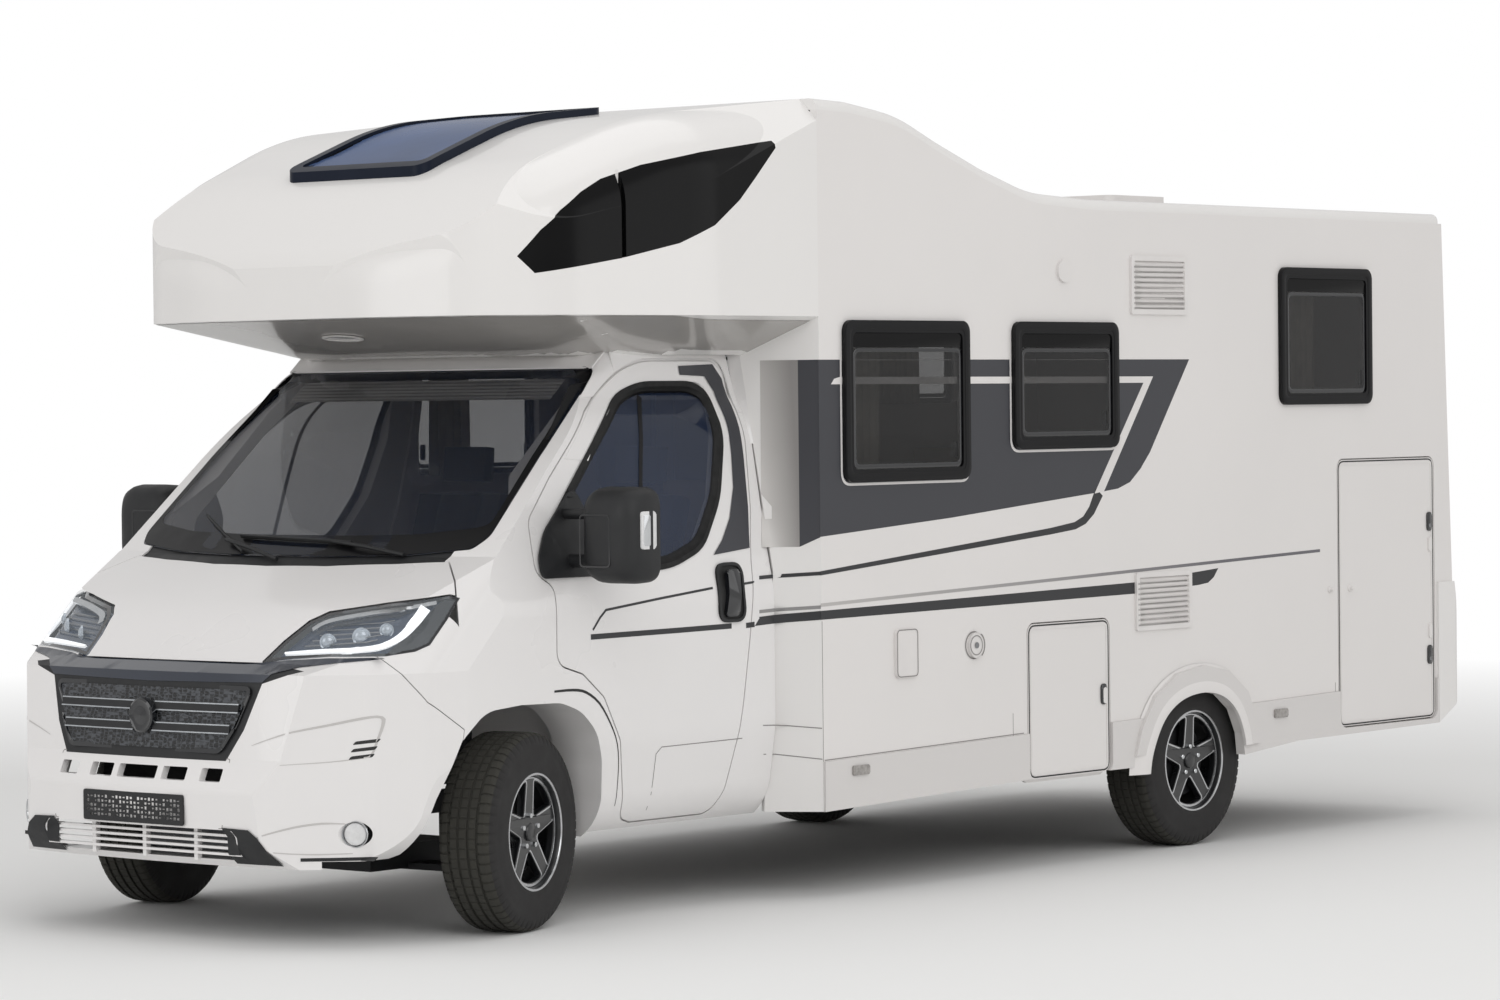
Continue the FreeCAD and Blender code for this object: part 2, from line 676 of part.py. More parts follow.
def on_shoulder(edge):
    # an edge along the outside of the roof's upper face
    ends = [v.Point for v in edge.Vertexes]
    return all(abs(abs(p.x) - body_half) < seat and p.z > roof_high_at(p.y) - roof_rear_soft for p in ends) \
        and abs(ends[0].y - ends[-1].y) > seam and ends[0].x * ends[-1].x > 0


def make_roof():
    line = roof_line()
    under = [(a, b - roof_thick) for a, b in reversed(line)]
    radii = roof_soft[:-1] + [roof_rear_soft] + roof_soft[::-1]
    band = prism(line + under, "x", -body_half, body_half, radii)
    sides = [e for e in band.Edges if on_shoulder(e)]
    return band.makeFillet(roof_edge_soft, sides)


def wall_outline():
    top = [(a, b - roof_thick) for a, b in roof_line()]
    top[-1] = (rear_plane(top[-1][1], wall_thick), top[-1][1])
    low = [(rear_low_place - wall_thick, rear_low), (rear_low_place - wall_thick, wall_low_rear),
           (wall_front, wall_low_front)]
    return top + low


def body_prism():
    # the whole living part as one filled outline
    top = [(a, b - roof_thick) for a, b in roof_line()]
    top[-1] = (rear_plane(top[-1][1], 0), top[-1][1])
    low = [(rear_low_place, rear_low), (rear_low_place, garage_floor_low), (wall_front, garage_floor_low)]
    return prism(top + low, "x", -body_half, body_half)


def hatch_tool(size, grow):
    soft = entry_soft if size is entry_door else hatch_soft
    return prism(rectangle(*size), "x", body_half - wall_thick - overrun, body_half + overrun, soft, grow)


def window_hole(size):
    front, rear, low, high = size
    ring = rectangle(front + window_edge / 2, rear - window_edge / 2, low + window_edge / 2,
                     high - window_edge / 2)
    return prism(ring, "x", body_half - wall_thick - overrun, body_half + overrun, window_soft / 2)


def stop_room(size):
    # the room that the inner frame of a door takes up
    inner_face = body_half - wall_thick
    soft = entry_soft if size is entry_door else hatch_soft
    return prism(rectangle(*size), "x", inner_face - stop_thick, inner_face, soft, stop_wide)


def stop_ring(size):
    # the inner frame that a flush door closes against
    inner_face = body_half - wall_thick
    soft = entry_soft if size is entry_door else hatch_soft
    hole = prism(rectangle(*size), "x", inner_face - stop_thick - gap, inner_face + gap, soft, -stop_wide)
    return stop_room(size).cut(hole)


def rear_arch_tool(grow):
    outline = spread(rear_arch_shares, rear_arch_front, rear_arch_rear, rear_arch_low, rear_arch_top)
    return prism(outline, "x", body_half - wall_thick - overrun, body_half + overrun, 0, grow)


def make_wall(windows, hatches):
    tools = [window_hole(size) for size in windows] + [hatch_tool(size, gap) for size in hatches]
    outline = wall_outline()
    soft = roof_soft + [0] * (len(outline) - len(roof_soft))
    panel = prism(outline, "x", body_half - wall_thick, body_half, soft).cut(tools + [rear_arch_tool(0)])
    return fused([panel] + [stop_ring(size) for size in hatches])


def make_skirt(hatches):
    low = spread(skirt_low_shares, wall_front, skirt_rear, skirt_low, skirt_high)
    top = [(skirt_rear, wall_low_at(skirt_rear)), (wall_front, wall_low_front)]
    panel = prism(low + top, "x", body_half - wall_thick, body_half + skirt_proud)
    flare = rear_arch_tool(flare_wide)
    upper = flare.common(block(body_half, body_half + flare_proud, wall_front, skirt_rear, wall_low_front,
                               roof_low))
    lower = flare.common(block(body_half, body_half + flare_proud, wall_front, skirt_rear, skirt_high,
                               wall_low_rear))
    tools = [hatch_tool(size, gap) for size in hatches] + [rear_arch_tool(0)]
    return fused([panel, upper, lower]).cut(tools)


def entry_view(size):
    front, rear, low, high = size
    return rectangle(front + entry_window_side, rear - entry_window_side,
                     at(entry_window_share_low, low, high),
                     at(entry_window_share_high, low, high))


def make_entry_glass():
    inner = body_half - wall_thick + seat
    return prism(entry_view(entry_door), "x", inner, body_half - entry_glass_sink, window_soft)


def make_leaf(size):
    # a flush door leaf with its locks; it closes on the stops a hair behind it
    front, rear, low, high = size
    soft = entry_soft if size is entry_door else hatch_soft
    inner = body_half - wall_thick + seat
    leaf = prism(rectangle(front, rear, low, high), "x", inner, body_half, soft)
    locks = []
    count = 1 if high - low < garage_door[1] - garage_door[0] else 2
    for i in range(count):
        middle = at((i + 1) / (count + 1), low, high)
        oval = rectangle(rear - lock_wide * 2, rear - lock_wide, middle - lock_high / 2,
                         middle + lock_high / 2)
        locks.append(prism(oval, "x", body_half, body_half + lock_proud, lock_wide / 2))
    if size is entry_door:
        leaf = leaf.cut(prism(entry_view(size), "x", inner - gap, body_half + gap, window_soft))
    return fused([leaf] + locks)


def window_pieces(size):
    front, rear, low, high = size
    opening = rectangle(front + window_edge, rear - window_edge, low + window_edge, high - window_edge)
    hole = prism(opening, "x", body_half - overrun, body_half + overrun, window_soft / 2)
    frame = prism(rectangle(front, rear, low, high), "x", body_half, body_half + window_proud,
                  window_soft).cut(hole)
    pane = prism(opening, "x", body_half + window_proud - window_glass_sink - window_glass_thick,
                 body_half + window_proud - window_glass_sink, window_soft / 2)
    return frame, pane


vent_slats = 9
vent_edge, vent_proud, vent_slat = 22.0, 12.0, 12.0
vents = [(3515.0, 3916.0, 2243.0, 2487.0), (3531.0, 3929.0, 932.0, 1174.0)]
filler_place, filler_height, filler_radius, filler_thick = 2445.0, 925.0, 52.0, 14.0
flap = (1930.0, 2065.0, 820.0, 1010.0)
outlet_place, outlet_height, outlet_radius = 3054.0, 2416.0, 46.0


def make_side_fittings():
    pieces = []
    for front, rear, low, high in vents:
        ring = rectangle(front, rear, low, high)
        frame = ring_prism(ring, "x", body_half, body_half + vent_proud, vent_edge / 2, vent_edge)
        slats = []
        step = (high - low - 2 * vent_edge) / vent_slats
        for i in range(vent_slats):
            foot = low + vent_edge + step * i
            slat = [(body_half, foot), (body_half + vent_slat / 3, foot),
                    (body_half + vent_slat, foot + step / 2),
                    (body_half, foot + step * upright_share)]
            face = Part.Face(Part.makePolygon([Vector(a, front + vent_edge, b) for a,
                                               b in slat + slat[:1]]))
            slats.append(face.extrude(Vector(0, rear - front - 2 * vent_edge, 0)))
        pieces.append(fused([frame] + slats))
    pieces.append(rod(filler_radius, "x", filler_place, filler_height, body_half, body_half + filler_thick))
    pieces.append(prism(rectangle(*flap), "x", body_half, body_half + filler_thick, vent_edge))
    pieces.append(rod(outlet_radius, "x", outlet_place, outlet_height, body_half, body_half + vent_proud))
    return group(pieces)


def make_rear_wall():
    top = roof_low - roof_thick
    outer = [(rear_plane(top, 0), top), (rear_low_place, rear_low), (rear_low_place, garage_floor_low)]
    inner = [(a - wall_thick, b) for a, b in reversed(outer)]
    return prism(outer + inner, "x", -body_half, body_half).cut(block_sides())


def block_sides():
    # behind the side walls the rear wall is only as wide as the space between the bumper's cheeks
    sides = block(body_half - wall_thick, body_half + overrun, rear_low_place - 2 * wall_thick, rear_reach,
                  0, wall_low_rear)
    return both(sides)


rear_bumper_shares = [(0.0, 0.0), (0.80, 0.14), (1.0, 0.43), (0.93, 0.57), (0.75, 0.86), (0.63, 1.0)]
rear_bumper_low, rear_bumper_high = 415.0, 1050.0
rear_bumper_deep = 215.0
rear_bumper_front = rear_reach - rear_bumper_deep
rear_bumper_skin = 26.0
rear_bumper_soft = 90.0
rear_bumper_edge_share = 0.66
tail_lamp_half, tail_lamp_side, tail_lamp_thick = 50.0, 1040.0, 22.0


def make_rear_bumper():
    outline = spread(rear_bumper_shares, rear_bumper_front, rear_reach, rear_bumper_low, rear_bumper_high)
    outline += [(rear_bumper_front, rear_bumper_high)]
    half = body_half + skirt_proud
    round_edge = rear_bumper_soft * rear_bumper_edge_share
    solid = prism(outline, "x", -half, half, [0] + [round_edge] * 4 + [0, 0])
    plan = prism(rectangle(-half, half, rear_bumper_front - overrun, rear_reach), "z", 0, roof_low,
                 [0, 0, rear_bumper_soft, rear_bumper_soft])
    body = solid.common(plan)
    half = half - rear_bumper_skin
    core = rectangle(-half, half, rear_bumper_front - 2 * overrun, rear_reach - 2 * rear_bumper_skin)
    hollow = prism(core, "z", rear_bumper_low + rear_bumper_skin, rear_bumper_high + overrun, 0)
    return body.cut([hollow, body_prism()])


# running gear
rail_place, rail_wide, rail_high, rail_low, rail_wall = 470.0, 60.0, 150.0, 490.0, 6.0
rail_front, rail_overhang = 1400.0, 845.0
rail_rear = wheelbase + rail_overhang
cross_place_shares = [0.015, 0.285, 0.748]
cross_places = [at(share, rail_front, wheelbase) for share in cross_place_shares]
cross_wide = 80.0
tail_rail_low, tail_rail_high, tail_rail_inset = 365.0, 445.0, 227.0
tail_rail_rear = rear_reach - tail_rail_inset
nose_beam_deep = 70.0
bumper_arm_place, bumper_arm_wide, bumper_arm_low, bumper_arm_high = 300.0, 80.0, 420.0, 460.0
cab_mount_places = [520.0, 1230.0]
outrigger_place_shares = [0.061, 0.417, 0.767, 1.252]
outrigger_places = [at(share, rail_front, wheelbase) for share in outrigger_place_shares]
outrigger_high = 70.0
engine_half, engine_front, engine_rear, engine_low, engine_high = 330.0, -640.0, -150.0, 300.0, 930.0
subframe_front, subframe_rear, subframe_low, subframe_high = -260.0, 220.0, 210.0, 300.0
radiator_half, radiator_front, radiator_rear, radiator_high = 440.0, -725.0, -665.0, 930.0

axle_height = 360.0
tyre_radius, tyre_wide, tyre_bead = 360.0, 225.0, 203.0
front_track_half, rear_track_half = 905.0, 990.0
rim_wide, rim_lip, rim_wall = 234.0, 214.0, 7.0
wheel_offset = 66.0
hub_radius, hub_bore = 72.0, 33.0
bolt_circle, bolt_count, bolt_hole = 118.0, 5, 8.0
spoke_count, spoke_root, spoke_tip, spoke_thick = 5, 74.0, 58.0, 28.0
tyre_profile_shares = [(-0.5, 0.0), (-0.5, 0.92), (-0.44, 1.0), (0.44, 1.0), (0.5, 0.92), (0.5, 0.0)]
rest_steer = 16.0
steer_pivot = 860.0


def turned(points, centre_x, centre_y, centre_z):
    # a ring about the axle line from points (across, radius)
    wire = Part.makePolygon([Vector(centre_x + a, centre_y, centre_z + b) for a, b in points + points[:1]])
    return Part.Face(wire).revolve(Vector(0, centre_y, centre_z), Vector(1, 0, 0), 360)


def make_tyre(centre_x, centre_y):
    return turned([(tyre_wide * a, at(b, tyre_bead, tyre_radius)) for a, b in tyre_profile_shares],
                  centre_x, centre_y, axle_height)


def make_rim(centre_x, centre_y):
    # a tube with a square lip outside each side of the tyre
    half, bead = rim_wide / 2, tyre_wide / 2 + seat
    left = [(-half, rim_lip), (-bead, rim_lip), (-bead, tyre_bead - seat)]
    right = [(-a, b) for a, b in reversed(left)]
    inside = [(half, tyre_bead - rim_wall), (-half, tyre_bead - rim_wall)]
    barrel = turned(left + right + inside, centre_x, centre_y, axle_height)
    face = centre_x + wheel_offset
    hub = rod(hub_radius, "x", centre_y, axle_height, face, face + spoke_thick)
    reach = math.sqrt((tyre_bead - rim_wall / 2) ** 2 - (spoke_tip / 2) ** 2)
    outline = [(-spoke_root / 2, hub_radius / 2), (spoke_root / 2, hub_radius / 2), (spoke_tip / 2, reach),
               (-spoke_tip / 2, reach)]
    wire = Part.makePolygon([Vector(face, centre_y + a, axle_height + b) for a, b in outline + outline[:1]])
    spokes = []
    for i in range(spoke_count):
        spoke = Part.Face(wire).extrude(Vector(spoke_thick, 0, 0))
        spoke.rotate(Vector(face, centre_y, axle_height), Vector(1, 0, 0), i * 360 / spoke_count)
        spokes.append(spoke)
    bores = [rod(hub_bore, "x", centre_y, axle_height, face - gap, face + spoke_thick / 2)]
    for i in range(bolt_count):
        angle = math.radians(i * 360 / bolt_count)
        bores.append(rod(bolt_hole, "x", centre_y + math.sin(angle) * bolt_circle / 2,
                         axle_height + math.cos(angle) * bolt_circle / 2, face - gap,
                         face + spoke_thick + gap))
    return fused([barrel, hub] + spokes).cut(bores)


def steered(shape):
    shape.rotate(Vector(steer_pivot, 0, 0), Vector(0, 0, 1), rest_steer)
    return shape


def steered_right(shape):
    shape.rotate(Vector(-steer_pivot, 0, 0), Vector(0, 0, 1), rest_steer)
    return shape


disc_radius, disc_thick = 150.0, 26.0
upright_low, upright_high, upright_deep, upright_thick = 245.0, 490.0, 110.0, 46.0
ball_radius = 17.0
fork_thick = 26.0
arm_low, arm_thick, arm_wide = 205.0, 24.0, 60.0
arm_root, mount_wide = 70.0, 60.0
strut_place, strut_radius, strut_top = 700.0, 27.0, 890.0
spring_radius = 62.0


def make_knuckle(side):
    face = front_track_half + wheel_offset - seat
    disc = rod(disc_radius, "x", 0, axle_height, face - disc_thick * 2, face - disc_thick)
    hub = rod(hub_radius, "x", 0, axle_height, steer_pivot - upright_thick / 2, face)
    post = block(steer_pivot - upright_thick / 2, steer_pivot + upright_thick / 2, -upright_deep / 2,
                 upright_deep / 2,
                 upright_low, upright_high)
    sockets = [rod(ball_radius + seat, "z", steer_pivot, 0, upright_low - gap, upright_low + fork_thick),
               rod(ball_radius + seat, "z", steer_pivot, 0, upright_high - fork_thick, upright_high + gap)]
    return fused([disc, hub, post]).cut(sockets)


def make_front_suspension():
    pieces = [block(-rail_place, rail_place, subframe_front, subframe_rear, subframe_low, subframe_high)]
    for start in (subframe_front, subframe_rear - mount_wide):
        post = block(rail_place - rail_wide, rail_place, start, start + mount_wide, subframe_high,
                     nose_rail_low)
        pieces += both(post)
    root = rail_place - overrun
    arm = [(root, -arm_root), (root, arm_root), (steer_pivot, arm_wide / 2), (steer_pivot, -arm_wide / 2)]
    low = prism(arm, "z", arm_low, arm_low + arm_thick)
    pin = rod(ball_radius, "z", steer_pivot, 0, arm_low, upright_low + fork_thick - seat)
    fork_low = upright_high + gap
    fork = block(strut_place - arm_wide / 2, steer_pivot + arm_wide / 2, -arm_wide / 2, arm_wide / 2,
                 fork_low,
                 fork_low + fork_thick)
    top = rod(ball_radius, "z", steer_pivot, 0, upright_high - fork_thick + seat, fork_low + fork_thick)
    leg = rod(strut_radius, "z", strut_place, 0, fork_low, strut_top)
    coil = rod(spring_radius, "z", strut_place, 0, tyre_radius * 2 + overrun, strut_top - overrun)
    pieces += both(fused([low, pin])) + both(fused([fork, top, leg, coil]))
    return fused(pieces)


def channel(low_x, high_x, low_y, high_y, low_z, high_z, wall):
    # a rail of open section along Y, its mouth towards the centreline
    outer = block(low_x, high_x, low_y, high_y, low_z, high_z)
    return outer.cut(block(low_x - wall, high_x - wall, low_y - wall, high_y + wall, low_z + wall,
                           high_z - wall))


def make_chassis():
    low_x, high_x = rail_place - rail_wide, rail_place
    rail = channel(low_x, high_x, rail_front, rail_rear, rail_low, rail_low + rail_high, rail_wall)
    nose = block(low_x, high_x, nose_rail_front, rail_front + cross_wide, nose_rail_low, nose_rail_high)
    step = block(low_x, high_x, rail_front, rail_front + cross_wide, nose_rail_low, rail_low + rail_high)
    drop = block(low_x, high_x, rail_rear - cross_wide, rail_rear, tail_rail_low, rail_low)
    tail = block(low_x, high_x, rail_rear - cross_wide, tail_rail_rear, tail_rail_low, tail_rail_high)
    pieces = both(rail) + both(nose) + both(step) + both(drop) + both(tail)
    for place in cross_places + [rail_rear - cross_wide / 2]:
        pieces.append(block(-high_x + rail_wall, high_x - rail_wall, place - cross_wide / 2,
                            place + cross_wide / 2,
                            rail_low + rail_wall * 4, rail_low + rail_high - rail_wall * 4))
    pieces.append(block(-high_x, high_x, nose_rail_front, nose_rail_front + nose_beam_deep, nose_rail_low,
                        nose_rail_high))
    pieces.append(block(-high_x, high_x, tail_rail_rear - cross_wide, tail_rail_rear, tail_rail_low,
                        tail_rail_high))
    for place in outrigger_places:
        arm = block(low_x, body_half - wall_thick, place - rail_wall * 2, place + rail_wall * 2,
                    floor_low - outrigger_high, floor_low)
        pieces += both(arm)
    for place in cab_mount_places:
        pieces += both(block(low_x, high_x, place - cross_wide / 2, place + cross_wide / 2, nose_rail_high,
                             cab_floor_low))
    arm = block(bumper_arm_place, bumper_arm_place + bumper_arm_wide, -front_reach, nose_rail_front,
                bumper_arm_low, bumper_arm_high)
    pieces += both(arm.common(cab_volume(cab_skin + seat, door_thick, cab_back, True)))
    return fused(pieces)


def make_engine():
    body = block(-engine_half, engine_half, engine_front, engine_rear, engine_low, engine_high)
    return body.makeChamfer(overrun,
            [e for e in body.Edges if min(v.Point.z for v in e.Vertexes) > engine_high - seam])


leaf_half_long, leaf_wide, leaf_thick, leaf_drop = 640.0, 64.0, 14.0, 120.0
beam_radius = 38.0
leaf_place = 560.0


def make_rear_axle():
    face = rear_track_half + wheel_offset - seat
    beam = rod(beam_radius, "x", wheelbase, axle_height, -face + disc_thick, face - disc_thick)
    pieces = [beam]
    for side in (1, -1):
        disc = rod(disc_radius, "x", wheelbase, axle_height, face - disc_thick * 2, face - disc_thick)
        hub = rod(hub_radius, "x", wheelbase, axle_height, face - disc_thick * 4, face)
        low = axle_height + beam_radius - seam
        arc = [(-leaf_half_long, low + leaf_drop), (0.0, low), (leaf_half_long, low + leaf_drop)]
        points = [Vector(leaf_place - leaf_wide / 2, wheelbase + a, b) for a, b in arc]
        upper = [p + Vector(0, 0, leaf_thick) for p in points]
        wire = Part.Wire([Part.Arc(*points).toShape(), Part.makeLine(points[2], upper[2]),
                          Part.Arc(*reversed(upper)).toShape(), Part.makeLine(upper[0], points[0])])
        leaf = Part.Face(wire).extrude(Vector(leaf_wide, 0, 0))
        pad = block(leaf_place - leaf_wide / 2, leaf_place + leaf_wide / 2, wheelbase - leaf_wide,
                    wheelbase + leaf_wide,
                    axle_height, low + leaf_thick / 2)
        ends = []
        for end in (-1, 1):
            place = wheelbase + end * leaf_half_long
            ends.append(block(rail_place, leaf_place + leaf_wide / 2, place - leaf_wide / 2,
                              place + leaf_wide / 2,
                              low + leaf_drop - leaf_thick, low + leaf_drop + 3 * leaf_thick))
        found = [disc, hub, leaf, pad] + ends
        pieces += found if side > 0 else [mirror(p) for p in found]
    return fused(pieces)


house_radius = 425.0


def make_floor():
    half = body_half - wall_thick
    level = floor_low + floor_thick
    main = block(-half, half, wall_front, garage_front, floor_low, level)
    tongue = block(-tongue_half, tongue_half, cab_back + seam, wall_front, floor_low, level)
    step = block(-tongue_half, tongue_half, cab_back + seam, cab_back + seam + cab_floor_thick / 2,
                 cab_floor_low, floor_low)
    rear = rear_low_place - wall_thick
    tub = block(-half, half, garage_front, rear, garage_floor_low, garage_floor_low + garage_floor_thick)
    riser = block(-half, half, garage_front, garage_front + bulkhead_thick, garage_floor_low, level)
    wells = both(rod(house_radius, "x", wheelbase, axle_height, house_inner, half))
    hollow = rod(house_radius - house_thick, "x", wheelbase, axle_height, house_inner + house_thick,
                 body_half)
    low = block(0, body_half, wheelbase - body_half, wheelbase + body_half, -house_radius, floor_low)
    house = rod(house_radius, "x", wheelbase, axle_height, house_inner, half).cut([hollow, low])
    plate = fused([main, tongue, step, tub, riser]).cut(wells)
    rooms = [stop_room(size) for size in left_hatches] + [mirror(stop_room(size)) for size in right_hatches]
    return fused([plate] + both(house)).cut(rooms)


fairing_thick = 24.0
fairing_low, fairing_mid = 333.0, 1250.0


def fairing_ring(z, inner):
    ring = [(inner, cab_back + seat), (body_half, wall_front), (body_half - fairing_thick, wall_front),
            (inner - fairing_thick, cab_back + seat + fairing_thick / 2)]
    return [Vector(a, b, z) for a, b in ring]


def make_fairings():
    # the panel that widens from the cab's rear edge to the living part's front edge
    top = cab_half * side_shares[-1][0]
    places = ((fairing_low, cab_half * side_shares[0][0]), (fairing_mid, cab_half), (cab_high, top))
    sections = [fairing_ring(z, inner) for z, inner in places]
    low = Part.makeLoft([Part.makePolygon(ring + ring[:1]) for ring in sections], True, True)
    cap = Part.Face(Part.makePolygon(sections[-1] + sections[-1][:1])).extrude(Vector(0, 0,
            alcove_low - cab_high))
    return group(both(low.fuse(cap.cut(soffit_volume(0))).removeSplitter()))


mirror_in, mirror_out, mirror_low, mirror_high = 1095.0, 1372.0, 1250.0, 1600.0
mirror_front, mirror_rear = 175.0, 335.0
mirror_soft = 60.0
mirror_arm_radius = 18.0
mirror_base_shares = [(0.0, 0.0), (1.0, 0.03), (0.9, 0.96), (0.16, 0.58), (0.0, 0.5)]
mirror_base_front, mirror_base_rear, mirror_base_low, mirror_base_high = 72.0, 400.0, 1262.0, 1560.0


def make_mirror():
    ring = rectangle(mirror_in, mirror_out, mirror_low, mirror_high)
    shell = prism(ring, "y", mirror_front, mirror_rear, mirror_soft)
    foot = spread(mirror_base_shares, mirror_base_front, mirror_base_rear, mirror_base_low,
                  mirror_base_high)
    base = prism(foot, "x", cab_half * side_shares[3][0] - door_thick / 2, cab_half + mirror_arm_radius / 2)
    base = base.common(prism(door_outline(), "x", door_reach, body_half, door_soft,
                             -2 * gap)).cut(cab_outer)
    middle = at(half_share, mirror_front, mirror_rear)
    arms = []
    for height in (at(0.2, mirror_low, mirror_high), at(0.72, mirror_low, mirror_high)):
        arm = rod(mirror_arm_radius, "x", middle, height, cab_half - door_thick,
                  mirror_in + mirror_arm_radius)
        arms.append(arm.cut(cab_outer))
    return fused([shell, base] + arms)


dash_rear, dash_low, dash_high = 430.0, 900.0, 1270.0
dash_half = 880.0


def make_dashboard():
    back = bulk_back_line()
    share = (dash_rear - 2 * overrun - back[2][0]) / (back[1][0] - back[2][0])
    foot = (at(share, back[2][0], back[1][0]), at(share, back[2][1], back[1][1]))
    outline = [back[2], back[3], (back[3][0], dash_high), (dash_rear - 3 * overrun, dash_high),
               (dash_rear, dash_high - 2 * overrun), (dash_rear, dash_low + overrun), foot]
    solid = prism(outline, "x", -dash_half, dash_half, [0, 0, 0, overrun, overrun, overrun, 0])
    return solid.common(cab_volume(cab_skin + seat, door_thick + 2 * gap, cab_back, True))


wheel_place, wheel_back, wheel_height, wheel_radius, wheel_rim = 370.0, 480.0, 1230.0, 190.0, 15.0
wheel_tilt = 35.0


def make_steering_wheel():
    centre = Vector(0, 0, 0)
    ring = Part.makeCylinder(wheel_radius + wheel_rim, wheel_rim * 2, Vector(0, 0, -wheel_rim))
    ring = ring.cut(Part.makeCylinder(wheel_radius - wheel_rim, wheel_rim * 4,
                                      Vector(0, 0, -2 * wheel_rim)))
    hub = Part.makeCylinder(wheel_rim * 3, wheel_rim * 2, Vector(0, 0, -wheel_rim))
    bar = block(-wheel_radius, wheel_radius, -wheel_rim, wheel_rim, -wheel_rim / 2, wheel_rim / 2)
    column = Part.makeCylinder(wheel_rim * 2, wheel_radius, Vector(0, 0, -wheel_radius))
    shape = fused([ring, hub, bar, column])
    shape.rotate(centre, Vector(1, 0, 0), -wheel_tilt)
    shape.translate(Vector(wheel_place, wheel_back, wheel_height))
    return largest(shape.cut(make_dashboard()))


seat_half, seat_place, seat_low = 250.0, 460.0, 830.0
seat_deep, seat_thick, seat_back_high = 520.0, 150.0, 760.0
seat_front = 620.0


def make_seat(place, front, base):
    cushion = prism(rectangle(front, front + seat_deep, base, base + seat_thick), "x", place - seat_half,
                    place + seat_half, overrun)
    back = [(front + seat_deep - seat_thick, base), (front + seat_deep + seat_thick / 2,
                                                     base + seat_back_high),
            (front + seat_deep + seat_thick, base + seat_back_high), (front + seat_deep, base)]
    rest = prism(back, "x", place - seat_half, place + seat_half, overrun)
    head = prism(rectangle(front + seat_deep + seat_thick / 2, front + seat_deep + seat_thick,
                           base + seat_back_high - gap,
                           base + seat_back_high + seat_thick), "x", place - seat_half / 2,
                           place + seat_half / 2, overrun / 2)
    plinth = block(place - seat_half / 2, place + seat_half / 2, front + overrun,
                   front + seat_deep - overrun,
                   cab_floor_low + cab_floor_thick, base)
    return fused([cushion, rest, head, plinth])


bench_front, bench_deep, bench_inner, bench_high, bench_back = 1560.0, 520.0, 300.0, 430.0, 480.0
table_front, table_rear, table_inner, table_height, table_thick = 2130.0, 2620.0, 420.0, 740.0, 30.0
kitchen_ahead, kitchen_long, kitchen_deep, kitchen_high = 1335.0, 890.0, 560.0, 900.0
kitchen_front, kitchen_rear = wheelbase - kitchen_ahead, wheelbase - kitchen_ahead + kitchen_long
locker_deep, locker_wall = 380.0, 20.0


def kitchen_panels(inner, top):
    # the block behind the open locker, and the top, the bottom and the ends of the locker
    front, rear, low, high = service_door
    back, over = inner - locker_deep, top + kitchen_high
    panels = [block(inner - kitchen_deep, back, kitchen_front, kitchen_rear, top, over)]
    for start, end in ((high, over), (top, top + locker_wall)):
        panels.append(block(back, inner, kitchen_front, kitchen_rear, start, end))
    for start, end in ((kitchen_front, front), (rear, kitchen_rear)):
        panels.append(block(back, inner, start, end, top + locker_wall, high))
    return [panel.cut(stop_room(service_door)) for panel in panels]


def make_furniture():
    inner = body_half - wall_thick
    top = floor_low + floor_thick
    bed = block(-inner, inner, garage_front, rear_plane(bed_low + bed_thick, wall_thick), bed_low,
                bed_low + bed_thick)
    bulk = block(-inner, inner, garage_front, garage_front + bulkhead_thick, top, bed_low)
    bench = block(bench_inner, inner, bench_front, bench_front + bench_deep, top, top + bench_high)
    back = block(bench_inner, inner, bench_front, bench_front + bed_thick * 3, top + bench_high,
                 top + bench_high + bench_back)
    table = block(table_inner, inner, table_front, table_rear, top + table_height,
                  top + table_height + table_thick)
    leg = rod(overrun, "z", at(half_share, table_inner, inner), at(half_share, table_front, table_rear),
              top, top + table_height)
    return group([bed, bulk, bench, back, table, leg] + kitchen_panels(inner, top))


def make_cowl():
    under = cab_volume(cab_skin - cowl_sink, door_thick, cab_back)
    strip = cab_volume(cowl_sink, door_thick, cab_back).cut(under).common(cowl_tool(0))
    return largest(strip.cut([bonnet_tool(gap), screen_tool(seat)]))


def make_bonnet():
    return largest(cab_wall.common(bonnet_tool(0)).cut(below_lamp_tools(gap) + [grille_tool(gap)]))


def make_radiator():
    # the cooler behind the grille; its top post carries the bonnet's catch
    core = block(-radiator_half, radiator_half, radiator_front, radiator_rear, nose_rail_high,
                 radiator_high)
    post = block(-overrun, overrun, radiator_rear - cab_skin, radiator_rear, radiator_high - overrun,
                 cab_high)
    under = cab_volume(cab_skin + seat, door_thick, cab_back, True)
    return fused([core, post]).common(under)


roof_light_places = [3500.0, 4900.0]
roof_light_half, roof_light_high = 220.0, 90.0


def make_roof_lights():
    lids = []
    for place in roof_light_places:
        ring = rectangle(-roof_light_half, roof_light_half, place - roof_light_half,
                         place + roof_light_half)
        lids.append(prism(ring, "z", roof_low, roof_low + roof_light_high, overrun))
    return group(lids)


def roof_high_at(y):
    line = roof_line()
    for (a, b), (c, d) in zip(line, line[1:]):
        if a <= y <= c:
            return at((y - a) / (c - a), b, d)
    return roof_low


tank_ahead, tank_long, tank_low, tank_half = 1785.0, 1050.0, 330.0, 380.0
pipe_radius, silencer_radius, pipe_place, pipe_height = 27.0, 85.0, -250.0, 350.0


def make_tank():
    front = wheelbase - tank_ahead
    return prism(rectangle(front, front + tank_long, tank_low, floor_low), "x", -tank_half / 2, tank_half,
                 overrun)


